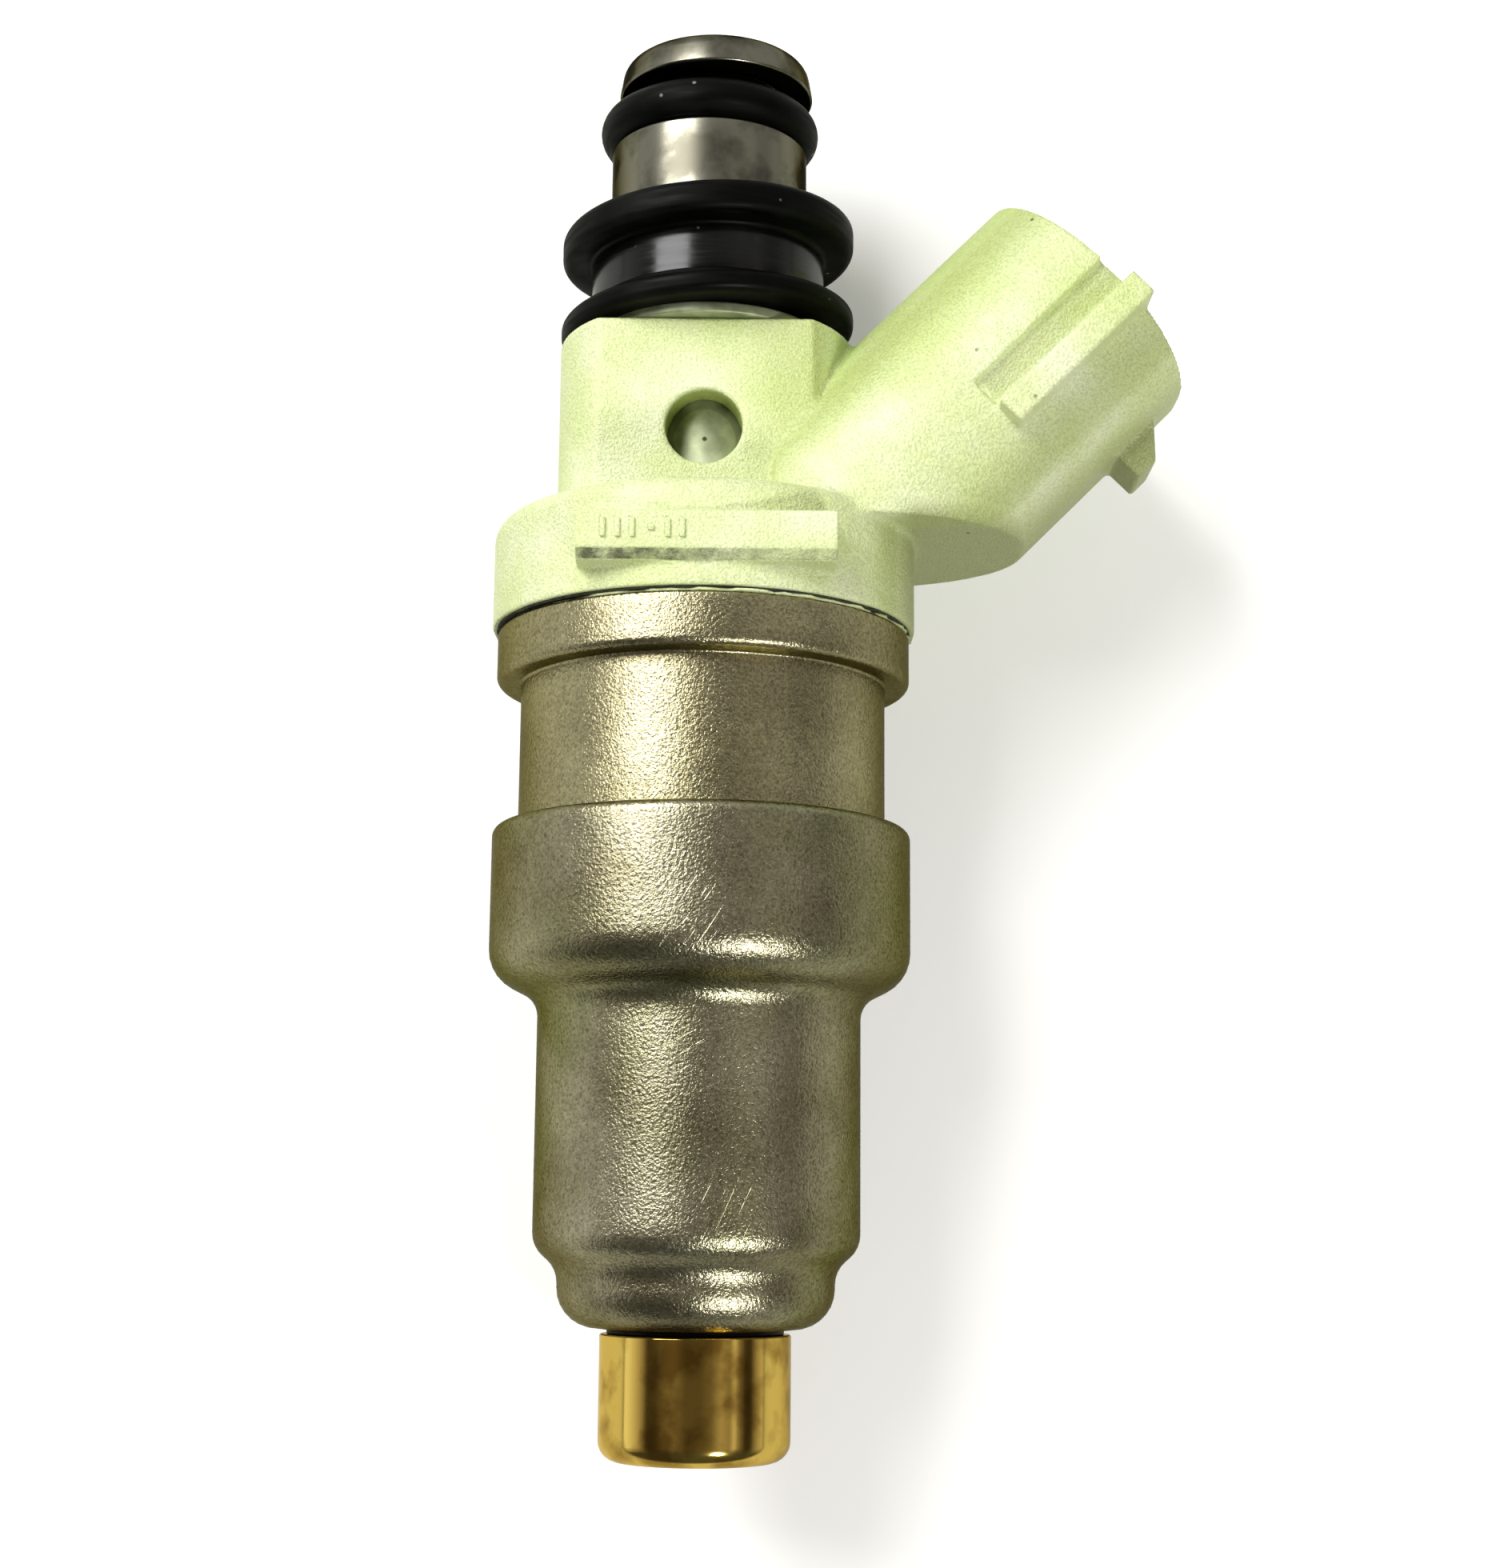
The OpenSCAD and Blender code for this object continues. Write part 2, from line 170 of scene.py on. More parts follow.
class StageSettings(bpy.types.PropertyGroup):
    """Camera and lights."""

    eye: FloatVectorProperty(
        name="Eye", description="Where the camera stands", size=3, subtype="TRANSLATION",
        unit="LENGTH", default=(3.06 * MM, -124.7 * MM, 11.26 * MM),
    )
    pan: FloatProperty(
        name="Pan", description="Turn of the camera to its left", subtype="ANGLE",
        default=math.radians(0.23),
    )
    tilt: FloatProperty(
        name="Tilt", description="Camera's tilt above the level", subtype="ANGLE",
        default=math.radians(10.16),
    )
    roll: FloatProperty(
        name="Roll", description="Camera's roll", subtype="ANGLE", default=math.radians(0.5)
    )
    lens: FloatProperty(
        name="Lens", description="Focal length for a sensor 36 mm high", default=56.83
    )
    key_power: FloatProperty(name="Key", description="Power of the window light", default=1.12)
    spot_power: FloatProperty(name="Spot", description="Power of the low light", default=0.75)


# ---------------------------------------------------------------- mesh helpers


def rounded_outline(corners, stretch):
    """Points of an outline given as corners (radius, height, round), all in millimetres.

    A corner with a round gets an arc of that radius, with a point about every 12 degrees,
    and a straight stretch gets points so that none is longer than `stretch`."""
    sweep = 12.0
    points = []
    count = len(corners)
    for i, (r, z, rounding) in enumerate(corners):
        here = Vector((r, z))
        before = Vector(corners[i - 1][:2]) - here
        after = Vector(corners[(i + 1) % count][:2]) - here
        turn = math.pi - before.angle(after)
        if rounding <= 0 or turn < 1e-3:
            points.append(here)
            continue
        reach = rounding * math.tan(turn / 2)
        start = here + before.normalized() * reach
        end = here + after.normalized() * reach
        inwards = (before.normalized() + after.normalized()).normalized()
        centre = here + inwards * (rounding / math.cos(turn / 2))
        steps = max(2, round(math.degrees(turn) / sweep))
        first, last = start - centre, end - centre
        signed = math.atan2(first.x * last.y - first.y * last.x, first.dot(last))
        for k in range(steps + 1):
            points.append(centre + Matrix.Rotation(signed * k / steps, 2) @ first)
    dense = []
    for a, b in zip(points, points[1:] + points[:1]):
        cuts = max(1, math.ceil((b - a).length / stretch))
        dense += [a.lerp(b, k / cuts) for k in range(cuts)]
    return dense


def finish_mesh(bm, name, sharp=32.0):
    """Turns a bmesh into an object: smooth faces, hard edges only where it turns sharply."""
    bmesh.ops.recalc_face_normals(bm, faces=bm.faces)
    for face in bm.faces:
        face.smooth = True
    for edge in bm.edges:
        edge.smooth = edge.calc_face_angle(0.0) < math.radians(sharp)
    mesh = bpy.data.meshes.new(name)
    bm.to_mesh(mesh)
    bm.free()
    piece = bpy.data.objects.new(name, mesh)
    bpy.context.scene.collection.objects.link(piece)
    return piece


def turned(name, corners):
    """A turned piece about Z, spun from the corners of its outline."""
    sizes = bpy.context.scene.injector_turned
    outline = rounded_outline(corners, sizes.stretch / MM)
    bm = bmesh.new()
    verts = [bm.verts.new((p.x * MM, 0, p.y * MM)) for p in outline]
    edges = [bm.edges.new((a, b)) for a, b in zip(verts, verts[1:] + verts[:1])]
    bmesh.ops.spin(
        bm, geom=verts + edges, cent=(0, 0, 0), axis=(0, 0, 1), angle=math.tau,
        steps=sizes.steps, use_merge=True, use_duplicate=False,
    )
    bmesh.ops.remove_doubles(bm, verts=bm.verts, dist=1e-7)
    return finish_mesh(bm, name)


def dress(piece, material, replaces=None):
    """Gives a new piece its material, its body and the node it stands for."""
    piece.data.materials.append(material)
    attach(piece, "injector_body")
    if replaces:
        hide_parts(replaces)


# ---------------------------------------------------------------- material helpers


def add(tree, kind, inputs=None, stops=(), **settings):
    """Adds a node. Inputs are values, or sockets to link from; stops are a colour ramp's
    positions and colours, and settings are the node's properties."""
    node = tree.nodes.new(kind)
    for key, value in settings.items():
        setattr(node, key, value)
    for key, value in (inputs or {}).items():
        if isinstance(value, bpy.types.NodeSocket):
            tree.links.new(value, node.inputs[key])
        else:
            node.inputs[key].default_value = value
    if stops:
        elements = node.color_ramp.elements
        while len(elements) < len(stops):
            elements.new(0.5)
        for element, (position, colour) in zip(elements, stops):
            element.position = position
            element.color = colour
    return node


def new_material(name, **shader_values):
    """A material with only a Principled shader. Returns it, its tree, shader and coordinates."""
    material = bpy.data.materials.new(name)
    material.use_nodes = True
    tree = material.node_tree
    tree.nodes.clear()
    shader = add(tree, "ShaderNodeBsdfPrincipled", shader_values)
    add(tree, "ShaderNodeOutputMaterial", {"Surface": shader.outputs[0]})
    place = add(tree, "ShaderNodeTexCoord").outputs["Object"]
    return material, tree, shader, place


def per_metre(size_mm):
    """Scale of a pattern whose features are this many millimetres across."""
    return 1 / (size_mm * MM)


# ---------------------------------------------------------------- materials


def moulded_resin():
    """Glass-filled nylon, moulded in a spark-eroded tool: a fine sharp grain, a pale
    green-yellow, dirt in a few pits, and painted shade along the back of the arm, under the
    arm, in a few corners and recesses and on the date pad's lower face."""
    finishes = bpy.context.scene.injector_finishes
    material, tree, shader, place = new_material(
        "glass_filled_nylon",
        **{"Roughness": 0.31, "Subsurface Weight": 0.06, "Subsurface Scale": 0.6 * MM,
           "Subsurface Radius": (1.0, 1.0, 0.4), "IOR": 1.5},
    )
    cloud = add(
        tree, "ShaderNodeTexNoise", {"Vector": place, "Scale": per_metre(5), "Detail": 6.0}
    ).outputs["Fac"]
    pale = add(
        tree, "ShaderNodeValToRGB", {"Fac": cloud},
        stops=[(0.32, finishes.resin_deep), (0.5, finishes.resin), (0.66, finishes.resin_pale)],
    ).outputs["Color"]
    # painted shade: the back of the arm, the side turned from the light, is tinted greener
    apart = add(tree, "ShaderNodeSeparateXYZ", {"Vector": place}).outputs
    across = add(
        tree, "ShaderNodeVectorMath", {0: place, 1: ACROSS}, operation="DOT_PRODUCT"
    ).outputs["Value"]
    back = add(tree, "ShaderNodeMapRange", {"Value": across, 1: 31.5 * MM, 2: 35.5 * MM})
    past = add(tree, "ShaderNodeMapRange", {"Value": apart["X"], 1: 4.5 * MM, 2: 7 * MM, 4: 0.75})
    back_shade = add(
        tree, "ShaderNodeMath", {0: back.outputs[0], 1: past.outputs[0]}, operation="MULTIPLY"
    ).outputs[0]
    colour = add(
        tree, "ShaderNodeMix", {0: back_shade, 6: pale, 7: srgb("#AEC465")}, data_type="RGBA"
    ).outputs[2]
    # painted shade, a grey green, under the arm, on the latch tab and behind the collar
    under_arm = add(tree, "ShaderNodeMapRange", {"Value": across, 1: 23.5 * MM, 2: 22.4 * MM})
    below = add(tree, "ShaderNodeMapRange", {"Value": apart["Z"], 1: 46.8 * MM, 2: 45.9 * MM})
    behind = add(tree, "ShaderNodeMapRange", {"Value": apart["X"], 1: 9.3 * MM, 2: 10.6 * MM})
    pocket = add(
        tree, "ShaderNodeMath", {0: below.outputs[0], 1: behind.outputs[0]}, operation="MULTIPLY"
    ).outputs[0]
    under_arm_shade = add(
        tree, "ShaderNodeMath", {0: under_arm.outputs[0], 1: pocket}, operation="MAXIMUM"
    ).outputs[0]
    colour = add(
        tree, "ShaderNodeMix", {0: under_arm_shade, 6: colour, 7: srgb("#A6AE74")}, data_type="RGBA"
    ).outputs[2]
    # painted shade in the corner between the front flat and the arm, and in the relief beside
    # the rib
    along = add(
        tree, "ShaderNodeVectorMath", {0: place, 1: ALONG}, operation="DOT_PRODUCT"
    ).outputs["Value"]
    corner = add(tree, "ShaderNodeMapRange", {"Value": apart["X"], 1: 1.9 * MM, 2: 4 * MM})
    sunken = add(tree, "ShaderNodeMapRange", {"Value": apart["Y"], 1: -6.9 * MM, 2: -5.9 * MM})
    nearer = add(tree, "ShaderNodeMapRange", {"Value": apart["Y"], 1: -4.6 * MM, 2: -5.2 * MM})
    relief_low = add(tree, "ShaderNodeMapRange", {"Value": across, 1: 28.0 * MM, 2: 28.15 * MM})
    relief_high = add(tree, "ShaderNodeMapRange", {"Value": across, 1: 29.2 * MM, 2: 28.95 * MM})
    relief_end = add(tree, "ShaderNodeMapRange", {"Value": along, 1: 45.9 * MM, 2: 46.2 * MM})
    front = add(tree, "ShaderNodeMapRange", {"Value": apart["Y"], 1: -7.0 * MM, 2: -7.5 * MM})
    # and painted shade on the walls of the tooling holes, whose axis is 51 mm up
    level = add(
        tree, "ShaderNodeVectorMath", {0: place, 1: (1, 0, 1)}, operation="MULTIPLY"
    ).outputs[0]
    reach = add(
        tree, "ShaderNodeVectorMath", {0: level, 1: (0, 0, 51 * MM)}, operation="DISTANCE"
    ).outputs["Value"]
    bored = add(tree, "ShaderNodeMapRange", {"Value": reach, 1: 2.2 * MM, 2: 2.05 * MM})
    depth = add(tree, "ShaderNodeMath", {0: apart["Y"]}, operation="ABSOLUTE").outputs[0]
    deep = add(tree, "ShaderNodeMapRange", {"Value": depth, 1: 5.35 * MM, 2: 4.9 * MM})
    recess_shade = None
    for strength, masks in (
        (0.55, (corner, sunken, nearer)),
        (0.95, (relief_low, relief_high, relief_end, front)),
        (1.0, (bored, deep)),
    ):
        product = add(
            tree, "ShaderNodeMath", {0: masks[0].outputs[0], 1: strength}, operation="MULTIPLY"
        ).outputs[0]
        for mask in masks[1:]:
            product = add(
                tree, "ShaderNodeMath", {0: product, 1: mask.outputs[0]}, operation="MULTIPLY"
            ).outputs[0]
        recess_shade = product if recess_shade is None else add(
            tree, "ShaderNodeMath", {0: recess_shade, 1: product}, operation="MAXIMUM"
        ).outputs[0]
    colour = add(
        tree, "ShaderNodeMix", {0: recess_shade, 6: colour, 7: srgb("#AAB768")}, data_type="RGBA"
    ).outputs[2]
    # painted shade, broken up by smeared dirt, on the lower face of the date pad, heavier to the
    # left
    proud = add(tree, "ShaderNodeMapRange", {"Value": apart["Y"], 1: -10.86 * MM, 2: -10.9 * MM})
    lower = add(tree, "ShaderNodeMapRange", {"Value": apart["Z"], 1: 43.02 * MM, 2: 42.92 * MM})
    smear = add(
        tree, "ShaderNodeTexNoise", {"Vector": place, "Scale": per_metre(0.7), "Detail": 4.0}
    ).outputs["Fac"]
    smeared = add(tree, "ShaderNodeMapRange", {"Value": smear, 1: 0.35, 2: 0.6, 3: 0.35, 4: 1.0})
    leftwards = add(
        tree, "ShaderNodeMapRange", {"Value": apart["X"], 1: 4 * MM, 2: -1 * MM, 3: 0.4, 4: 1.0}
    )
    pad_shade_and_dirt = proud.outputs[0]
    for mask in (lower, smeared, leftwards):
        pad_shade_and_dirt = add(
            tree, "ShaderNodeMath", {0: pad_shade_and_dirt, 1: mask.outputs[0]}, operation="MULTIPLY"
        ).outputs[0]
    colour = add(
        tree, "ShaderNodeMix", {0: pad_shade_and_dirt, 6: colour, 7: srgb("#5F6440")}, data_type="RGBA"
    ).outputs[2]
    # grit of 0.14 mm, a little darker in its low places
    grit = add(
        tree, "ShaderNodeTexNoise",
        {"Vector": place, "Scale": per_metre(0.14), "Detail": 2.0, "Roughness": 0.65},
    ).outputs["Fac"]
    shade = add(tree, "ShaderNodeMapRange", {"Value": grit, 1: 0.36, 2: 0.6, 3: 0.8, 4: 1.04})
    colour = add(
        tree, "ShaderNodeVectorMath", {0: colour, "Scale": shade.outputs[0]}, operation="SCALE"
    ).outputs[0]
    # dirt caught in small pits
    pits = add(tree, "ShaderNodeTexVoronoi", {"Vector": place, "Scale": per_metre(2.0)})
    pit_mask = add(
        tree, "ShaderNodeValToRGB", {"Fac": pits.outputs["Distance"]},
        stops=[(0.0, WHITE), (0.03, WHITE), (0.06, BLACK)],
    )
    rare = add(tree, "ShaderNodeTexNoise", {"Vector": place, "Scale": per_metre(3)})
    rare_mask = add(
        tree, "ShaderNodeValToRGB", {"Fac": rare.outputs["Fac"]},
        stops=[(0.52, BLACK), (0.6, WHITE)],
    )
    dirt = add(
        tree, "ShaderNodeMath", {0: pit_mask.outputs["Color"], 1: rare_mask.outputs["Color"]},
        operation="MULTIPLY",
    ).outputs[0]
    stained = add(
        tree, "ShaderNodeMix", {0: dirt, 6: colour, 7: srgb("#4E552A")}, data_type="RGBA"
    )
    tree.links.new(stained.outputs[2], shader.inputs["Base Color"])
    waves = add(tree, "ShaderNodeTexNoise", {"Vector": place, "Scale": per_metre(0.8)})
    relief = add(
        tree, "ShaderNodeMath", {0: waves.outputs["Fac"], 1: 0.7, 2: grit},
        operation="MULTIPLY_ADD",
    )
    sunk = add(
        tree, "ShaderNodeMath", {0: relief.outputs[0], 1: dirt}, operation="SUBTRACT"
    ).outputs[0]
    bump = add(tree, "ShaderNodeBump", {"Height": sunk, "Strength": 1.0, "Distance": 0.1 * MM})
    tree.links.new(bump.outputs["Normal"], shader.inputs["Normal"])
    return material


def scuffs(tree, place, spots):
    """Mask of short scratches round a few places (x, y, z, reach, slant), in millimetres and
    degrees."""
    total = None
    for x, y, z, reach, slant in spots:
        centre = (x * MM, y * MM, z * MM)
        away = add(
            tree, "ShaderNodeVectorMath", {0: place, 1: centre}, operation="DISTANCE"
        ).outputs["Value"]
        near = add(
            tree, "ShaderNodeMapRange", {"Value": away, 1: reach * MM, 2: 0.3 * reach * MM}
        ).outputs[0]
        streaks = add(
            tree, "ShaderNodeMapping",
            {"Vector": place, "Location": centre, "Rotation": (0, math.radians(slant), 0),
             "Scale": (0.16 * MM, 3 * MM, 4 * MM)},
            vector_type="TEXTURE",
        ).outputs[0]
        lines = add(
            tree, "ShaderNodeTexNoise", {"Vector": streaks, "Scale": 1.0, "Detail": 1.0}
        ).outputs["Fac"]
        thin = add(tree, "ShaderNodeMapRange", {"Value": lines, 1: 0.63, 2: 0.7}).outputs[0]
        mask = add(tree, "ShaderNodeMath", {0: near, 1: thin}, operation="MULTIPLY").outputs[0]
        total = mask if total is None else add(
            tree, "ShaderNodeMath", {0: total, 1: mask}, operation="MAXIMUM"
        ).outputs[0]
    return total


def blasted_steel(name, light, dark, tint, grain_mm, roughness, spots=()):
    """Plated steel that was blasted: a fine leathery grain that sparkles, in a warm grey with
    brown and greenish stains, and short scratches where it was handled."""
    material, tree, shader, place = new_material(
        name, **{"Metallic": 1.0, "Roughness": roughness, "Specular Tint": srgb("#A09A80")}
    )
    cloud = add(
        tree, "ShaderNodeTexNoise", {"Vector": place, "Scale": per_metre(6), "Detail": 6.0}
    ).outputs["Fac"]
    patch = add(
        tree, "ShaderNodeTexNoise",
        {"Vector": place, "Scale": per_metre(11), "Detail": 3.0, "Distortion": 0.6},
    ).outputs["Fac"]
    base = add(
        tree, "ShaderNodeValToRGB", {"Fac": cloud}, stops=[(0.36, dark), (0.64, light)]
    ).outputs["Color"]
    tinted = add(
        tree, "ShaderNodeValToRGB", {"Fac": patch},
        stops=[(0.46, BLACK), (0.62, (0.8, 0.8, 0.8, 1))],
    ).outputs["Color"]
    colour = add(
        tree, "ShaderNodeMix", {0: tinted, 6: base, 7: tint}, data_type="RGBA"
    ).outputs[2]
    grain = add(
        tree, "ShaderNodeTexNoise",
        {"Vector": place, "Scale": per_metre(grain_mm), "Detail": 2.0, "Roughness": 0.6},
    ).outputs["Fac"]
    # dirt stays in the low places of the grain
    low = add(tree, "ShaderNodeMapRange", {"Value": grain, 1: 0.32, 2: 0.5, 3: 0.62, 4: 1.0})
    darkened = add(
        tree, "ShaderNodeVectorMath", {0: colour, "Scale": low.outputs[0]}, operation="SCALE"
    ).outputs[0]
    # crystals that catch the light
    crystals = add(
        tree, "ShaderNodeTexVoronoi", {"Vector": place, "Scale": per_metre(0.13)}
    ).outputs["Color"]
    catch = add(
        tree, "ShaderNodeMapRange",
        {"Value": add(tree, "ShaderNodeSeparateColor", {"Color": crystals}).outputs[0],
         1: 0.0, 2: 1.0, 3: 0.82, 4: 1.2},
    ).outputs[0]
    glittering = add(
        tree, "ShaderNodeVectorMath", {0: darkened, "Scale": catch}, operation="SCALE"
    ).outputs[0]
    tree.links.new(glittering, shader.inputs["Base Color"])
    height = grain
    if spots:
        marks = scuffs(tree, place, spots)
        height = add(
            tree, "ShaderNodeMath", {0: marks, 1: -0.5, 2: grain}, operation="MULTIPLY_ADD"
        ).outputs[0]
        smoother = add(
            tree, "ShaderNodeMapRange", {"Value": marks, 3: roughness, 4: 0.6 * roughness}
        ).outputs[0]
        tree.links.new(smoother, shader.inputs["Roughness"])
    bump = add(tree, "ShaderNodeBump", {"Height": height, "Strength": 0.8, "Distance": 0.05 * MM})
    tree.links.new(bump.outputs["Normal"], shader.inputs["Normal"])
    return material


def turned_metal(name, light, dark, roughness, groove_mm, depth_mm, tint=WHITE):
    """Metal turned on a lathe: fine rings round the axis and a thin, cloudy tarnish."""
    material, tree, shader, place = new_material(
        name, **{"Metallic": 1.0, "Roughness": roughness, "Specular Tint": tint}
    )
    cloud = add(
        tree, "ShaderNodeTexNoise", {"Vector": place, "Scale": per_metre(2.2), "Detail": 7.0}
    ).outputs["Fac"]
    colour = add(
        tree, "ShaderNodeValToRGB", {"Fac": cloud}, stops=[(0.4, dark), (0.57, light)]
    ).outputs["Color"]
    tree.links.new(colour, shader.inputs["Base Color"])
    hazy = add(
        tree, "ShaderNodeMapRange",
        {"Value": cloud, 1: 0.3, 2: 0.7, 3: 1.5 * roughness, 4: 0.8 * roughness},
    ).outputs[0]
    tree.links.new(hazy, shader.inputs["Roughness"])
    # rings that run round the piece: a pattern of the height alone
    height = add(tree, "ShaderNodeSeparateXYZ", {"Vector": place}).outputs["Z"]
    rings = add(
        tree, "ShaderNodeTexNoise", {"W": height, "Scale": per_metre(groove_mm), "Detail": 4.0},
        noise_dimensions="1D",
    ).outputs["Fac"]
    specks = add(
        tree, "ShaderNodeTexNoise", {"Vector": place, "Scale": per_metre(0.35), "Detail": 3.0}
    ).outputs["Fac"]
    relief = add(tree, "ShaderNodeMath", {0: specks, 1: 0.4, 2: rings}, operation="MULTIPLY_ADD")
    bump = add(
        tree, "ShaderNodeBump",
        {"Height": relief.outputs[0], "Strength": 0.5, "Distance": depth_mm * MM},
    )
    tree.links.new(bump.outputs["Normal"], shader.inputs["Normal"])
    return material


def moulded_rubber(name, colour, roughness, gloss, ring_mm):
    """Black fluorocarbon rubber: a faint bloom, a few specks of dust, and rings from its
    mould or from wear, this many millimetres apart."""
    material, tree, shader, place = new_material(
        name, **{"Specular IOR Level": gloss, "Roughness": roughness}
    )
    bloom = add(
        tree, "ShaderNodeTexNoise", {"Vector": place, "Scale": per_metre(3), "Detail": 5.0}
    )
    base = add(
        tree, "ShaderNodeValToRGB", {"Fac": bloom.outputs["Fac"]},
        stops=[(0.5, srgb(colour)), (0.8, srgb("#0F110E"))],
    ).outputs["Color"]
    specks = add(tree, "ShaderNodeTexVoronoi", {"Vector": place, "Scale": per_metre(1.3)})
    dust = add(
        tree, "ShaderNodeValToRGB", {"Fac": specks.outputs["Distance"]},
        stops=[(0.0, WHITE), (0.05, (0.7, 0.7, 0.7, 1)), (0.1, BLACK)],
    )
    rare = add(tree, "ShaderNodeTexNoise", {"Vector": place, "Scale": per_metre(2.4)})
    rare_mask = add(
        tree, "ShaderNodeValToRGB", {"Fac": rare.outputs["Fac"]},
        stops=[(0.56, BLACK), (0.62, WHITE)],
    )
    dusty = add(
        tree, "ShaderNodeMath", {0: dust.outputs["Color"], 1: rare_mask.outputs["Color"]},
        operation="MULTIPLY",
    ).outputs[0]
    coloured = add(
        tree, "ShaderNodeMix", {0: dusty, 6: base, 7: srgb("#8E9288")}, data_type="RGBA"
    ).outputs[2]
    tree.links.new(coloured, shader.inputs["Base Color"])
    drawn = add(
        tree, "ShaderNodeVectorMath", {0: place, 1: (0.08, 0.08, 1)}, operation="MULTIPLY"
    ).outputs[0]
    rings = add(tree, "ShaderNodeTexNoise", {"Vector": drawn, "Scale": per_metre(ring_mm)})
    worn = add(
        tree, "ShaderNodeMapRange",
        {"Value": rings.outputs["Fac"], 1: 0.35, 2: 0.65, 3: 0.75 * roughness,
         4: 1.2 * roughness},
    ).outputs[0]
    tree.links.new(worn, shader.inputs["Roughness"])
    bump = add(
        tree, "ShaderNodeBump",
        {"Height": rings.outputs["Fac"], "Strength": 0.3, "Distance": 0.02 * MM},
    )
    tree.links.new(bump.outputs["Normal"], shader.inputs["Normal"])
    return material


def hazed_steel():
    """Steel of the buried tube, dull from the resin moulded over it, with a punch mark at
    the middle of each tooling hole and painted shade towards each hole's wall."""
    material, tree, shader, place = new_material(
        "hazed_steel", **{"Metallic": 0.6, "Roughness": 0.5}
    )
    cloud = add(
        tree, "ShaderNodeTexNoise", {"Vector": place, "Scale": per_metre(1.6), "Detail": 6.0}
    ).outputs["Fac"]
    colour = add(
        tree, "ShaderNodeValToRGB", {"Fac": cloud},
        stops=[(0.35, srgb("#8A9272")), (0.55, srgb("#B4BC98")), (0.7, srgb("#CDD3B4"))],
    ).outputs["Color"]
    level = add(
        tree, "ShaderNodeVectorMath", {0: place, 1: (1, 0, 1)}, operation="MULTIPLY"
    ).outputs[0]
    away = add(
        tree, "ShaderNodeVectorMath", {0: level, 1: (0, 0, 50.85 * MM)}, operation="DISTANCE"
    ).outputs["Value"]
    mark = add(
        tree, "ShaderNodeMapRange", {"Value": away, 1: 0.16 * MM, 2: 0.08 * MM}
    ).outputs[0]
    # painted shade darkens the tube beyond 1.6 mm from the mark, out to the hole's wall
    skin = add(
        tree, "ShaderNodeMapRange", {"Value": away, 1: 1.55 * MM, 2: 1.62 * MM, 3: 1.0, 4: 0.72}
    ).outputs[0]
    wall_shaded = add(
        tree, "ShaderNodeVectorMath", {0: colour, "Scale": skin}, operation="SCALE"
    ).outputs[0]
    marked = add(
        tree, "ShaderNodeMix", {0: mark, 6: wall_shaded, 7: srgb("#3A3F2C")}, data_type="RGBA"
    )
    tree.links.new(marked.outputs[2], shader.inputs["Base Color"])
    bump = add(
        tree, "ShaderNodeBump",
        {"Height": cloud, "Strength": 0.4, "Distance": 0.1 * MM},
    )
    tree.links.new(bump.outputs["Normal"], shader.inputs["Normal"])
    return material


# ---------------------------------------------------------------- operators


class INJECTOR_OT_nozzle(bpy.types.Operator):
    """Turns the brass sleeve and the seal ring above it"""

    bl_idname = "injector.nozzle"
    bl_label = "Nozzle"

    def execute(self, context):
        """Spins both outlines."""
        finishes = context.scene.injector_finishes
        low, high = box_mm("nozzle_sleeve")
        outer, top = high.x, high.z
        mouth, floor = 1.6, 1.4
        # bright brass, with brown clouds where fuel has dried
        brass = turned_metal(
            "turned_brass", finishes.brass, finishes.brass_dark, 0.11, 0.15, 0.0035,
            srgb("#FFF0CC"),
        )
        sleeve = turned("sleeve", [
            (mouth, low.z, 0.2), (outer, low.z, 1.0), (outer, top, 0.12), (NOSE_R, top, 0),
            (NOSE_R, floor, 0), (mouth, floor, 0),
        ])
        dress(sleeve, brass, replaces="nozzle_sleeve")
        low, high = box_mm("nozzle_seal_ring")
        ring = turned("nozzle_seal", [
            (NOSE_R, low.z, 0), (high.x, low.z, 0.06), (high.x, high.z, 0.06),
            (NOSE_R, high.z, 0),
        ])
        rubber = moulded_rubber("seal_rubber", "#030302", 0.5, 0.12, 0.3)
        dress(ring, rubber, replaces="nozzle_seal_ring")
        return {"FINISHED"}


class INJECTOR_OT_housing(bpy.types.Operator):
    """Turns the blasted steel housing with its wide cup"""

    bl_idname = "injector.housing"
    bl_label = "Valve housing"

    def execute(self, context):
        """Spins the outline, from the lip at the nozzle to the rim of the cup."""
        low, high = box_mm("valve_housing")
        cup, rim = high.x, high.z
        lip, lower = 6.87, 8.12
        floor, lip_top, step, shoulder = 9.05, 9.2, 10.25, 23.6
        # scuffed on the front of the cup, above the lower rounding and below the shoulder
        spots = [
            (-0.7, -10.6, 25.4, 2.4, 32), (1.9, -7.9, 12.0, 2.2, 24),
            (-0.6, -8.1, 19.6, 1.3, 60),
        ]
        finishes = context.scene.injector_finishes
        steel = blasted_steel(
            "blasted_steel", finishes.steel, finishes.steel_dark, srgb("#84865F"), 0.15, 0.28,
            spots,
        )
        housing = turned("housing", [
            (NOSE_R, low.z, 0), (lip, low.z, 1.95), (lip, lip_top, 1.5), (lower, step, 1.5),
            (lower, shoulder - 1.25, 1.3), (cup, shoulder, 2.05), (cup, rim - 0.12, 0.5),
            (CASE_R, rim, 0.04), (CASE_R, CASE_SEAT, 0), (BOSS_R, CASE_SEAT, 0),
            (BOSS_R, floor, 0), (NOSE_R, floor, 0),
        ])
        dress(housing, steel, replaces="valve_housing")
        return {"FINISHED"}


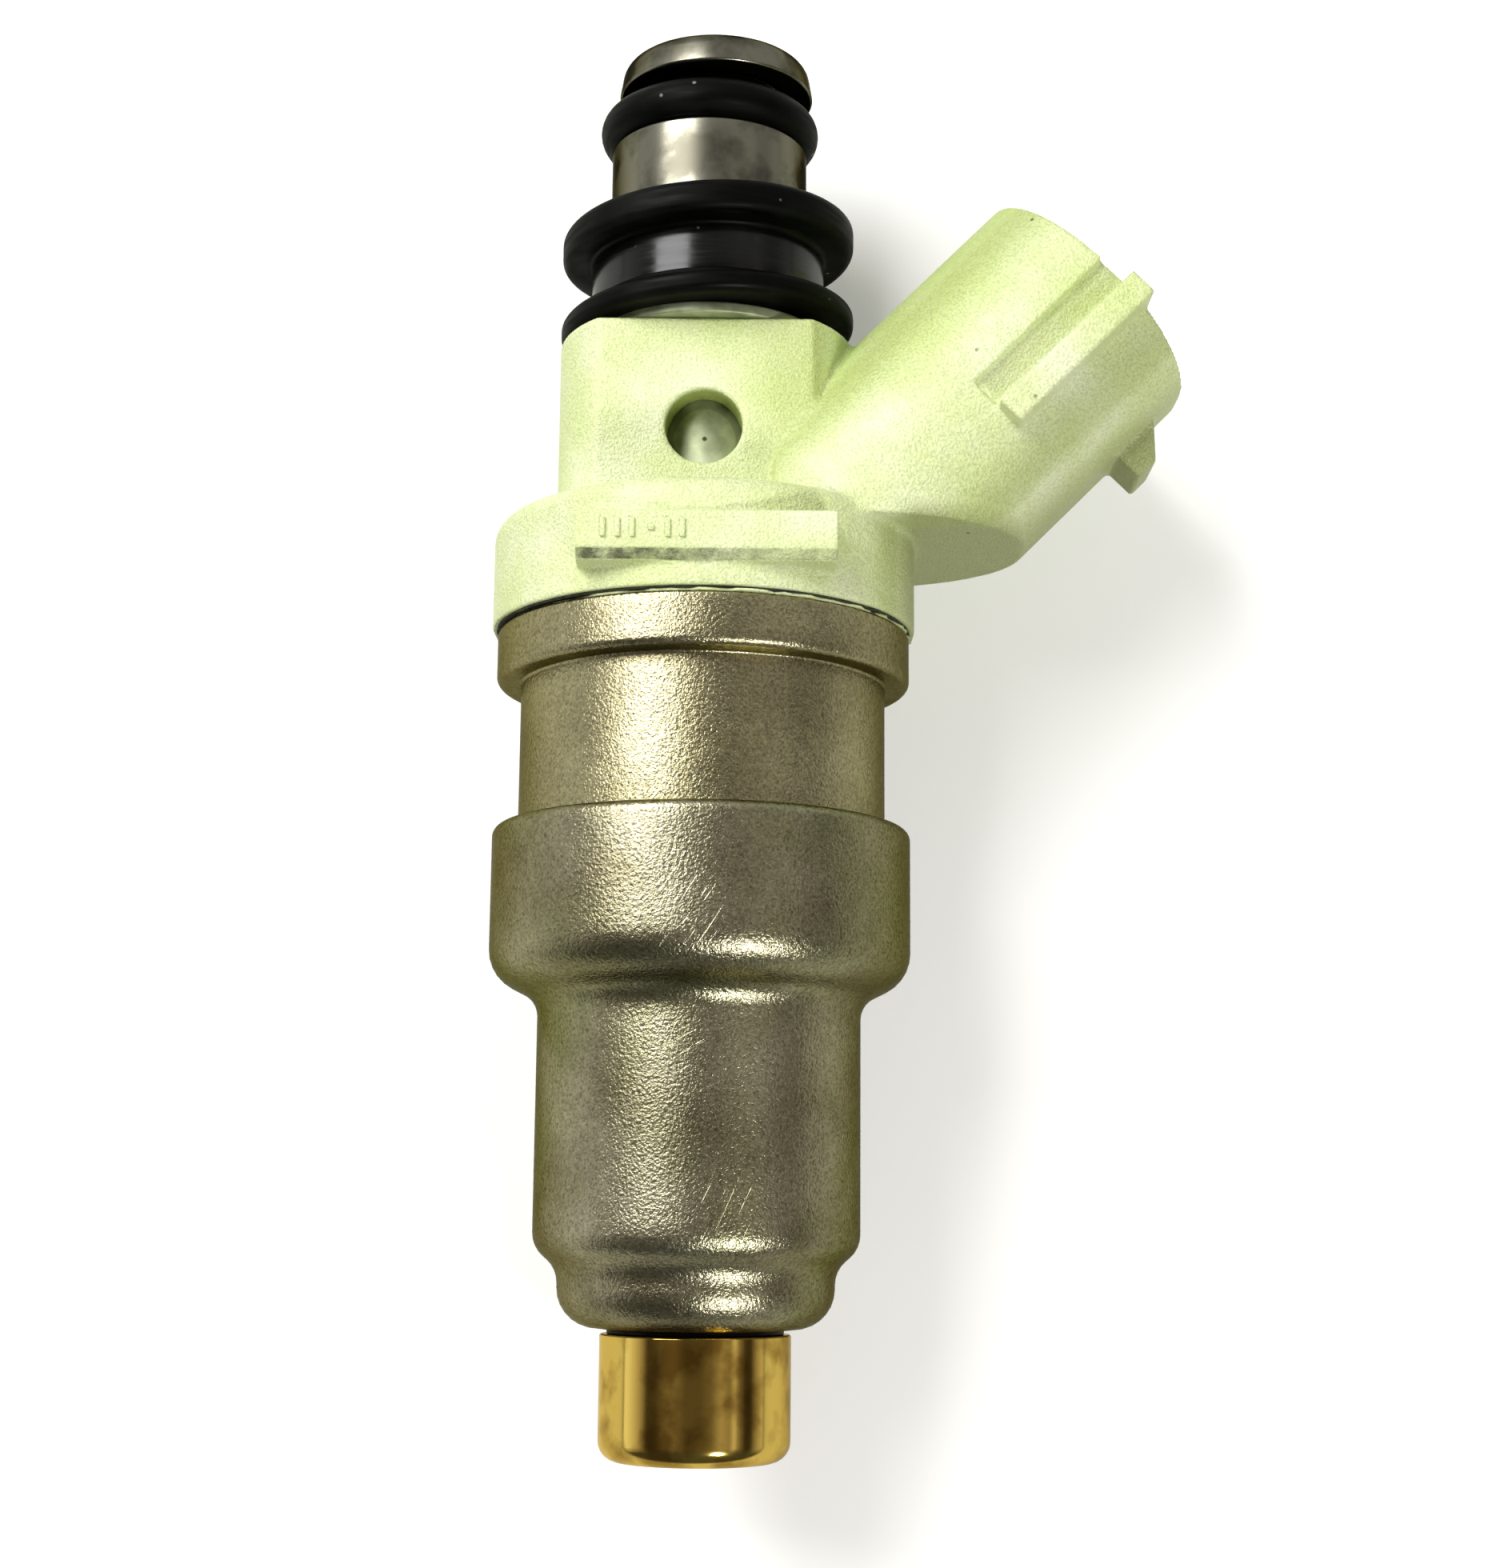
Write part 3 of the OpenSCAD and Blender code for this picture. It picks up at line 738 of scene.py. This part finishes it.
class INJECTOR_OT_case(bpy.types.Operator):
    """Turns the solenoid case with its flange"""

    bl_idname = "injector.case"
    bl_label = "Solenoid case"

    def execute(self, context):
        """Spins the outline, from the boss inside the housing to the flange."""
        low, high = box_mm("solenoid_case")
        flange, top = high.x, high.z
        bore, floor, underside = 8.2, 26.2, 38.45
        # the same blasting on a warmer plating
        steel = blasted_steel(
            "satin_case_steel", srgb("#B0AA86"), srgb("#928B69"), srgb("#9B9474"), 0.14, 0.27
        )
        body = turned("case", [
            (POLE_R, low.z, 0), (BOSS_R, low.z, 0), (BOSS_R, CASE_SEAT, 0),
            (CASE_R, CASE_SEAT, 0), (CASE_R, underside, 0.15), (flange, underside, 0.4),
            (flange, top, 0.2), (bore, top, 0), (bore, floor, 0), (POLE_R, floor, 0),
        ])
        dress(body, steel, replaces="solenoid_case")
        return {"FINISHED"}


class INJECTOR_OT_core_tube(bpy.types.Operator):
    """Turns the steel inlet tube with the groove for the rail seal"""

    bl_idname = "injector.core_tube"
    bl_label = "Inlet tube"

    def execute(self, context):
        """Spins the outlines of the buried part, of the part above it and of the groove."""
        low, high = box_mm("core_tube")
        top = high.z
        bore, inlet, neck, groove_r, head, flange = 2.0, 3.0, 3.5, 3.6, 4.88, 6.2
        neck_low, flange_low, flange_high, tube_low = 39.2, 56.65, 57.25, 57.2
        step_low, step_high, groove_low, groove_high = 61, 62, 67.67, 70.8
        pole = turned("pole_tube", [
            (bore, low.z, 0), (POLE_R, low.z, 0.1), (POLE_R, neck_low, 0), (neck, neck_low, 0),
            (neck, flange_low, 0), (flange, flange_low, 0.15), (flange, flange_high, 0.15),
            (bore, flange_high, 0),
        ])
        dress(pole, hazed_steel(), replaces="core_tube")
        core = turned("inlet_tube", [
            (bore, tube_low, 0), (TUBE_R, tube_low, 0), (TUBE_R, groove_low, 0.15),
            (groove_r, groove_low, 0.1), (groove_r, groove_high, 0.1),
            (TUBE_R, groove_high, 0.12), (head, top, 0.9), (inlet + 0.3, top, 0.1),
            (inlet, top - 0.3, 0.1), (inlet, step_high, 0.2), (bore, step_low, 0.2),
        ])
        # a dark sheet of painted shade lines the groove and the face above it
        shade_r, shade_edge = groove_r + 0.02, TUBE_R - 0.12
        shade_low, shade_high, shade_top = groove_low + 0.03, groove_high - 0.02, groove_high + 0.04
        groove = turned("groove_shade_sheet", [
            (neck, shade_low, 0), (shade_r, shade_low, 0), (shade_r, shade_high, 0),
            (shade_edge, shade_high, 0), (shade_edge, shade_top, 0), (neck, shade_top, 0),
        ])
        # the end of the tube was knocked a little towards the plug socket
        knock, knock_low, knock_high = 0.32, 67.6, 70.8
        for vert in [*core.data.vertices, *groove.data.vertices]:
            if math.hypot(vert.co.x, vert.co.y) > 3.4 * MM:
                rise = (vert.co.z / MM - knock_low) / (knock_high - knock_low)
                vert.co.x += knock * MM * min(1.0, max(0.0, rise))
        # near black, with no more than a faint gleam: painted shade in the groove
        groove_shade = turned_metal(
            "painted_groove_shade", srgb("#15150F"), srgb("#0C0C08"), 0.55, 0.3, 0.002, srgb("#2A2A22")
        )
        dress(groove, groove_shade)
        # ground to a soft gleam, and darkened by heat and fuel
        steel = turned_metal(
            "ground_tube_steel", srgb("#807E70"), srgb("#57554A"), 0.24, 0.4, 0.002,
            srgb("#77756A"),
        )
        dress(core, steel)
        return {"FINISHED"}


class INJECTOR_OT_seals(bpy.types.Operator):
    """Turns the rail grommet and the rail seal"""

    bl_idname = "injector.seals"
    bl_label = "Rubber seals"

    def execute(self, context):
        """Spins the grommet, the shiny band round its waist, and the seal."""
        low, high = box_mm("rail_grommet")
        rim, top = high.x, high.z
        waist = 6.1
        # dull on the flanges, and shinier round the stretched waist
        rubber = moulded_rubber("grommet_rubber", "#030402", 0.5, 0.06, 0.3)
        stretched = moulded_rubber("stretched_rubber", "#030403", 0.2, 0.32, 0.18)
        grommet = turned("grommet", [
            (TUBE_R, low.z, 0), (rim, low.z, 0.45), (rim, low.z + 1.05, 0.4),
            (waist, low.z + 1.5, 0.25), (waist, top - 1.8, 0.25), (rim, top - 1.9, 0.5),
            (rim, top - 0.25, 0.5), (waist, top, 0.2), (TUBE_R, top, 0),
        ])
        band = turned("grommet_band", [
            (5.9, low.z + 1.8, 0), (waist + 0.02, low.z + 1.8, 0.02),
            (waist + 0.02, top - 2.1, 0.02), (5.9, top - 2.1, 0),
        ])
        # the grommet sits a little askew on the tube, lower away from the plug socket
        slope, hold = 0.06, 1.5
        for piece in (grommet, band):
            for vert in piece.data.vertices:
                radius = math.hypot(vert.co.x, vert.co.y) / MM
                loose = min(1.0, max(0.0, (radius - TUBE_R) / hold))
                vert.co.z += slope * vert.co.x * loose
        dress(band, stretched)
        dress(grommet, rubber, replaces="rail_grommet")
        low, high = box_mm("rail_o_ring")
        section = (high.z - low.z) / 2
        middle = (high.z + low.z) / 2
        points = 28
        seal = turned("rail_seal", [
            (high.x - section + section * math.cos(a), middle + section * math.sin(a), 0)
            for a in (math.tau * k / points for k in range(points))
        ])
        dress(seal, rubber, replaces="rail_o_ring")
        return {"FINISHED"}


class INJECTOR_OT_moulding(bpy.types.Operator):
    """Softens the moulded body's edges and fillets, and adds the plain date bars"""

    bl_idname = "injector.moulding"
    bl_label = "Moulded body"

    def execute(self, context):
        """Rebuilds the CAD solid as one skin, then softens it as a moulding tool would."""
        sizes = context.scene.injector_moulding
        bm = bmesh.new()
        bm.from_mesh(NODES["connector_moulding"].data)
        bmesh.ops.remove_doubles(bm, verts=bm.verts, dist=1e-6)
        body = finish_mesh(bm, "moulded_body")
        remesh = body.modifiers.new("skin", "REMESH")
        remesh.mode = "VOXEL"
        remesh.voxel_size = sizes.voxel
        soften = body.modifiers.new("soften", "SMOOTH")
        soften.factor = 0.5
        soften.iterations = sizes.rounding
        self.apply_modifiers(context, body)
        self.mark_fillets(body, sizes)
        fill = body.modifiers.new("fillets", "SMOOTH")
        fill.factor = 0.5
        fill.iterations = sizes.fillet_rounds
        fill.vertex_group = "fillets"
        thin = body.modifiers.new("thin", "DECIMATE")
        thin.ratio = min(1.0, sizes.triangles / (2 * len(body.data.polygons)))
        self.apply_modifiers(context, body)
        for polygon in body.data.polygons:
            polygon.use_smooth = True
        resin = moulded_resin()
        dress(body, resin, replaces="connector_moulding")
        self.flash(resin)
        self.grime()
        self.date_bars(resin)
        return {"FINISHED"}

    @staticmethod
    def apply_modifiers(context, piece):
        """Puts what the modifiers make into the mesh, with its vertex groups."""
        depsgraph = context.evaluated_depsgraph_get()
        mesh = bpy.data.meshes.new_from_object(
            piece.evaluated_get(depsgraph), preserve_all_data_layers=True, depsgraph=depsgraph
        )
        piece.modifiers.clear()
        piece.data = mesh

    @staticmethod
    def mark_fillets(piece, sizes):
        """Groups the verts near the hollow corners where the arm meets the neck and dome."""
        hollow = 0.045 * sizes.voxel
        bm = bmesh.new()
        bm.from_mesh(piece.data)
        bm.normal_update()
        corners = KDTree(len(bm.verts))
        for vert in bm.verts:
            # only in a box round each of the two corners, in millimetres
            x, y, z = vert.co / MM
            beside_flat = 3.0 < x < 8.0 and z < 52.0 and 5.0 < abs(y) < 7.6
            on_dome = 5.0 < x < 11.5 and z < 48.6 and abs(y) < 10.0
            if z < 46.0 or not (beside_flat or on_dome):
                continue
            middle = sum((e.other_vert(vert).co for e in vert.link_edges), Vector())
            rise = (middle / len(vert.link_edges) - vert.co).dot(vert.normal)
            if rise > hollow:
                corners.insert(vert.co, vert.index)
        corners.balance()
        group = piece.vertex_groups.new(name="fillets")
        for vert in bm.verts:
            _, index, distance = corners.find(vert.co)
            if index is not None and distance < sizes.fillet:
                group.add([vert.index], 1 - (distance / sizes.fillet) ** 2, "REPLACE")
        bm.free()

    @staticmethod
    def flash(resin):
        """Thin ragged skin of resin that leaked over the edge of the steel flange."""
        ring = turned("flash", [
            (10.2, 41.08, 0), (10.62, 41.08, 0.03), (10.62, 41.2, 0.03), (10.2, 41.22, 0),
        ])
        for vert in ring.data.vertices:
            x, y, _ = vert.co / MM
            ragged = noise.noise(Vector((x, y, 0)) * 0.9)
            ragged += 0.5 * noise.noise(Vector((x, y, 7)) * 2.6)
            # it is torn away on the side away from the plug socket
            torn = max(0.0, -x / 10 - 0.15)
            grow = 0.995 + 0.03 * max(-1.0, ragged) - 0.05 * torn
            vert.co.x *= min(1.01, grow)
            vert.co.y *= min(1.01, grow)
        dress(ring, resin)

    @staticmethod
    def grime():
        """Black dirt in the joint over the flange, broken up, and most away from the socket."""
        material, tree, shader, place = new_material("joint_dirt", **{"Roughness": 0.8})
        cloud = add(tree, "ShaderNodeTexNoise", {"Vector": place, "Scale": per_metre(0.4)})
        colour = add(
            tree, "ShaderNodeValToRGB", {"Fac": cloud.outputs["Fac"]},
            stops=[(0.4, srgb("#14160D")), (0.7, srgb("#3A3F24"))],
        ).outputs["Color"]
        tree.links.new(colour, shader.inputs["Base Color"])
        line = turned("joint_line", [
            (10.3, 41.21, 0), (10.62, 41.21, 0.02), (10.62, 41.34, 0.02), (10.3, 41.34, 0),
        ])
        for vert in line.data.vertices:
            x, y, z = vert.co / MM
            broken = noise.noise(Vector((x, y, z)) * 1.1)
            broken += 0.6 * noise.noise(Vector((x, y, 3)) * 3.1)
            more = 0.5 * max(0.0, -x / 10)
            grow = 1 + 0.004 * max(-1.0, min(1.0, broken + 0.25 + more))
            vert.co.x *= grow
            vert.co.y *= grow
            vert.co.z += 0.05 * MM * noise.noise(Vector((x, y, 11)) * 2.0)
        dress(line, material)

    @staticmethod
    def date_bars(resin):
        """Plain raised bars on the pad of the collar."""
        face = box_mm("connector_moulding")[0].y
        thick, sunk, middle, soft = 0.3, 0.02, 43.95, 0.05
        bar, dash = (0.95, 0.26), (0.3, 0.3)
        marks = [(-4.6, bar), (-3.9, bar), (-3.2, bar), (-2.3, dash), (-1.5, bar), (-0.8, bar)]
        bm = bmesh.new()
        for x, (tall, wide) in marks:
            verts = bmesh.ops.create_cube(bm, size=1.0)["verts"]
            bmesh.ops.scale(bm, verts=verts, vec=(wide * MM, thick * MM, tall * MM))
            bmesh.ops.translate(
                bm, verts=verts, vec=(x * MM, (face + sunk) * MM, middle * MM)
            )
        bmesh.ops.bevel(
            bm, geom=bm.edges[:], offset=soft * MM, offset_type="OFFSET", affect="EDGES",
            segments=2, profile=0.5, material=-1,
        )
        dress(finish_mesh(bm, "date_bars", 60), resin)


class INJECTOR_OT_inside(bpy.types.Operator):
    """Gives the pieces inside, and the terminals, their metals and plastics"""

    bl_idname = "injector.inside"
    bl_label = "Inside pieces"

    def execute(self, context):
        """Assigns materials to the CAD nodes that keep their shape, and adds the spring."""
        rubber = bpy.data.materials["seal_rubber"]
        brass = bpy.data.materials["turned_brass"]
        # clean grey steel with the marks of the lathe
        steel = turned_metal(
            "machined_steel", srgb("#A3A29C"), srgb("#85847E"), 0.3, 0.2, 0.003
        )
        # tin over brass, pale and a little yellow
        tin = turned_metal("tinned_brass", srgb("#C9C2A6"), srgb("#A89F80"), 0.28, 0.5, 0.002)
        # brown enamel on copper wire, wound in rings
        copper = turned_metal(
            "enamelled_copper", srgb("#B5652E"), srgb("#8C4519"), 0.3, 0.25, 0.03
        )
        # dull straw-coloured nylon
        plastic, tree, shader, place = new_material("bobbin_nylon", **{"Roughness": 0.45})
        cloud = add(tree, "ShaderNodeTexNoise", {"Vector": place, "Scale": per_metre(4)})
        colour = add(
            tree, "ShaderNodeValToRGB", {"Fac": cloud.outputs["Fac"]},
            stops=[(0.3, srgb("#CFC59A")), (0.7, srgb("#DDD4B0"))],
        ).outputs["Color"]
        tree.links.new(colour, shader.inputs["Base Color"])
        finishes = {
            "orifice_plate": steel, "valve_body": steel, "valve_body_o_ring": rubber,
            "lift_stop_plate": steel, "needle_valve": steel, "armature": steel,
            "coil_bobbin": plastic, "coil_winding": copper,
            "winding_tape": plastic, "bobbin_o_ring": rubber, "core_o_ring": rubber,
            "yoke_washer": steel, "adjusting_tube": brass, "filter_collar": brass,
            "filter_frame": plastic, "filter_mesh": steel, "terminal_front": tin,
            "terminal_rear": tin,
        }
        for node, material in finishes.items():
            for slot in NODES[node].material_slots:
                slot.material = material
        self.spring(steel)
        return {"FINISHED"}

    @staticmethod
    def spring(steel):
        """The return spring, from the CAD mesh with its doubled points merged, on a mesh of its
        own.
        """
        bm = bmesh.new()
        bm.from_mesh(NODES["return_spring"].data)
        bmesh.ops.remove_doubles(bm, verts=bm.verts, dist=1e-7)
        coil = finish_mesh(bm, "spring")
        dress(coil, steel, replaces="return_spring")
        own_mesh(coil)


class INJECTOR_OT_stage(bpy.types.Operator):
    """Sets the floor that the injector lies on, the soft lights and the camera"""

    bl_idname = "injector.stage"
    bl_label = "Stage"

    def execute(self, context):
        """Builds the stage round the injector's own box."""
        scene = context.scene
        stage = scene.injector_stage
        # the injector lies on a floor behind it, so the floor stands upright in this frame
        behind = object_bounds()[1].y
        half_width = 1.2
        bm = bmesh.new()
        bmesh.ops.create_grid(bm, x_segments=1, y_segments=1, size=half_width)
        bmesh.ops.rotate(
            bm, verts=bm.verts, cent=(0, 0, 0), matrix=Matrix.Rotation(math.radians(90), 3, "X")
        )
        bmesh.ops.translate(bm, verts=bm.verts, vec=(0, behind, 0))
        mesh = bpy.data.meshes.new("floor")
        bm.to_mesh(mesh)
        bm.free()
        floor = bpy.data.objects.new("floor", mesh)
        scene.collection.objects.link(floor)
        floor.data.materials.append(self.floor_paper())
        floor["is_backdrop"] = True
        self.area_light(
            "window", stage.key_power, size=(0.16, 0.2), turn=-34, rise=28, distance=0.3
        )
        # the low lamp only adds glints
        lamp = self.area_light(
            "low_lamp", stage.spot_power, size=(0.06, 0.06), turn=32, rise=-38, distance=0.35
        )
        lamp.data.diffuse_factor = 0.02
        self.world(scene)
        camera_data = bpy.data.cameras.new("camera")
        camera_data.sensor_fit = "VERTICAL"
        camera_data.sensor_height = 36
        camera_data.lens = stage.lens
        camera_data.clip_start = 0.005
        camera = bpy.data.objects.new("camera", camera_data)
        scene.collection.objects.link(camera)
        camera.matrix_world = (
            Matrix.Translation(stage.eye)
            @ Matrix.Rotation(stage.pan, 4, "Z")
            @ Matrix.Rotation(math.radians(90) + stage.tilt, 4, "X")
            @ Matrix.Rotation(stage.roll, 4, "Z")
        )
        scene.camera = camera
        scene.view_settings.view_transform = "Standard"
        return {"FINISHED"}

    @staticmethod
    def floor_paper():
        """White paper that only its front face shows, so the back views see past it."""
        material, tree, shader, _ = new_material(
            "white_paper",
            **{"Base Color": srgb("#F4F4F2"), "Roughness": 0.9, "Emission Color": WHITE,
               "Emission Strength": 0.15},
        )
        # what the metal mirrors is a duller sheet than the one that is seen
        sheet = add(tree, "ShaderNodeBsdfDiffuse", {"Color": srgb("#BEBEB6")})
        glow = add(
            tree, "ShaderNodeEmission", {"Color": (1.0, 1.0, 0.94, 1), "Strength": 0.09}
        )
        dull = add(tree, "ShaderNodeAddShader", {0: sheet.outputs[0], 1: glow.outputs[0]})
        seen = add(tree, "ShaderNodeLightPath").outputs["Is Camera Ray"]
        paper = add(
            tree, "ShaderNodeMixShader", {0: seen, 1: dull.outputs[0], 2: shader.outputs[0]}
        )
        side = add(tree, "ShaderNodeNewGeometry").outputs["Backfacing"]
        clear = add(tree, "ShaderNodeBsdfTransparent")
        mix = add(
            tree, "ShaderNodeMixShader", {0: side, 1: paper.outputs[0], 2: clear.outputs[0]}
        )
        tree.links.new(mix.outputs[0], tree.nodes["Material Output"].inputs["Surface"])
        return material

    @staticmethod
    def area_light(name, power, size, turn, rise, distance):
        """A soft rectangle of light aimed at the middle of the injector, turned from the
        front and raised by these degrees, and this many metres away."""
        data = bpy.data.lights.new(name, "AREA")
        data.shape = "RECTANGLE"
        data.size, data.size_y = size
        data.energy = power
        light = bpy.data.objects.new(name, data)
        bpy.context.scene.collection.objects.link(light)
        target = Vector((0, 0, 0.035))
        a, e = math.radians(turn), math.radians(rise)
        way = Vector((math.sin(a) * math.cos(e), -math.cos(a) * math.cos(e), math.sin(e)))
        light.location = target + way * distance
        light.rotation_euler = way.to_track_quat("Z", "Y").to_euler()
        return light

    @staticmethod
    def world(scene):
        """A room seen round the horizon: bright at the sides and behind, and darker, with a
        few pale and dark uprights, on the side of the camera. Paler above than below."""
        world = bpy.data.worlds.new("pale_room")
        world.use_nodes = True
        tree = world.node_tree
        tree.nodes.clear()
        way = add(tree, "ShaderNodeTexCoord").outputs["Generated"]
        x, y, z = add(tree, "ShaderNodeSeparateXYZ", {"Vector": way}).outputs
        front = add(tree, "ShaderNodeMath", {0: y, 1: -1.0}, operation="MULTIPLY").outputs[0]
        turn = add(tree, "ShaderNodeMath", {0: x, 1: front}, operation="ARCTAN2").outputs[0]
        around = add(
            tree, "ShaderNodeMapRange", {"Value": turn, 1: -math.pi, 2: math.pi}
        ).outputs[0]
        # brightness by the degrees turned from the front
        uprights = [
            (-180, 1.0), (-112, 1.0), (-86, 1.1), (-68, 0.55), (-57, 0.06), (-45, 0.08),
            (-36, 0.22), (-22, 0.26), (-10, 0.12), (8, 0.12), (22, 0.2), (33, 0.5), (44, 0.36),
            (50, 0.8), (55, 0.3), (64, 0.05), (72, 0.05), (84, 0.55), (100, 0.95), (180, 1.0),
        ]
        horizon = add(tree, "ShaderNodeValToRGB", {"Fac": around}, stops=[
            ((a + 180) / 360, (v, v * (0.8 + 0.2 * v), v * (0.62 + 0.38 * v), 1))
            for a, v in uprights
        ]).outputs["Color"]
        height = add(tree, "ShaderNodeMapRange", {"Value": z, 1: -0.5, 2: 0.5}).outputs[0]
        far = add(
            tree, "ShaderNodeValToRGB", {"Fac": height},
            stops=[(0.0, WHITE), (0.28, BLACK), (0.76, BLACK), (1.0, WHITE)],
        ).outputs["Color"]
        ends = add(
            tree, "ShaderNodeValToRGB", {"Fac": height},
            stops=[(0.2, (0.1, 0.1, 0.09, 1)), (0.8, (0.6, 0.6, 0.58, 1))],
        ).outputs["Color"]
        room = add(tree, "ShaderNodeMix", {0: far, 6: horizon, 7: ends}, data_type="RGBA")
        seen = add(tree, "ShaderNodeLightPath").outputs["Is Camera Ray"]
        shown = add(
            tree, "ShaderNodeMix", {0: seen, 6: room.outputs[2], 7: WHITE},
            data_type="RGBA",
        )
        back = add(tree, "ShaderNodeBackground", {"Color": shown.outputs[2]})
        add(tree, "ShaderNodeOutputWorld", {"Surface": back.outputs[0]})
        scene.world = world


# ---------------------------------------------------------------- panel


OPERATORS = (
    INJECTOR_OT_nozzle, INJECTOR_OT_housing, INJECTOR_OT_case, INJECTOR_OT_core_tube,
    INJECTOR_OT_seals, INJECTOR_OT_moulding, INJECTOR_OT_inside, INJECTOR_OT_stage,
)


class INJECTOR_PT_panel(bpy.types.Panel):
    """Lists the injector's pieces in the sidebar"""

    bl_idname = "INJECTOR_PT_panel"
    bl_label = "Fuel injector"
    bl_space_type = "VIEW_3D"
    bl_region_type = "UI"
    bl_category = "Injector"

    def draw(self, context):
        """One button for each operator, then the settings."""
        for operator in OPERATORS:
            self.layout.operator(operator.bl_idname)
        for name, group in GROUPS.items():
            box = self.layout.box()
            for prop in group.__annotations__:
                box.prop(getattr(context.scene, name), prop)


GROUPS = {
    "injector_turned": TurnedSizes,
    "injector_moulding": MouldingSizes,
    "injector_finishes": FinishColours,
    "injector_stage": StageSettings,
}


def register():
    """Registers the settings, the operators and the panel."""
    for name, group in GROUPS.items():
        bpy.utils.register_class(group)
        setattr(bpy.types.Scene, name, PointerProperty(type=group))
    for operator in OPERATORS:
        bpy.utils.register_class(operator)
    bpy.utils.register_class(INJECTOR_PT_panel)


def unregister():
    """Takes away what register added."""
    bpy.utils.unregister_class(INJECTOR_PT_panel)
    for operator in reversed(OPERATORS):
        bpy.utils.unregister_class(operator)
    for name, group in GROUPS.items():
        delattr(bpy.types.Scene, name)
        bpy.utils.unregister_class(group)


def main():
    """Makes every piece and the stage."""
    register()
    bpy.ops.injector.nozzle()
    bpy.ops.injector.housing()
    bpy.ops.injector.case()
    bpy.ops.injector.core_tube()
    bpy.ops.injector.seals()
    bpy.ops.injector.moulding()
    bpy.ops.injector.inside()
    bpy.ops.injector.stage()


if __name__ == "__main__":
    main()
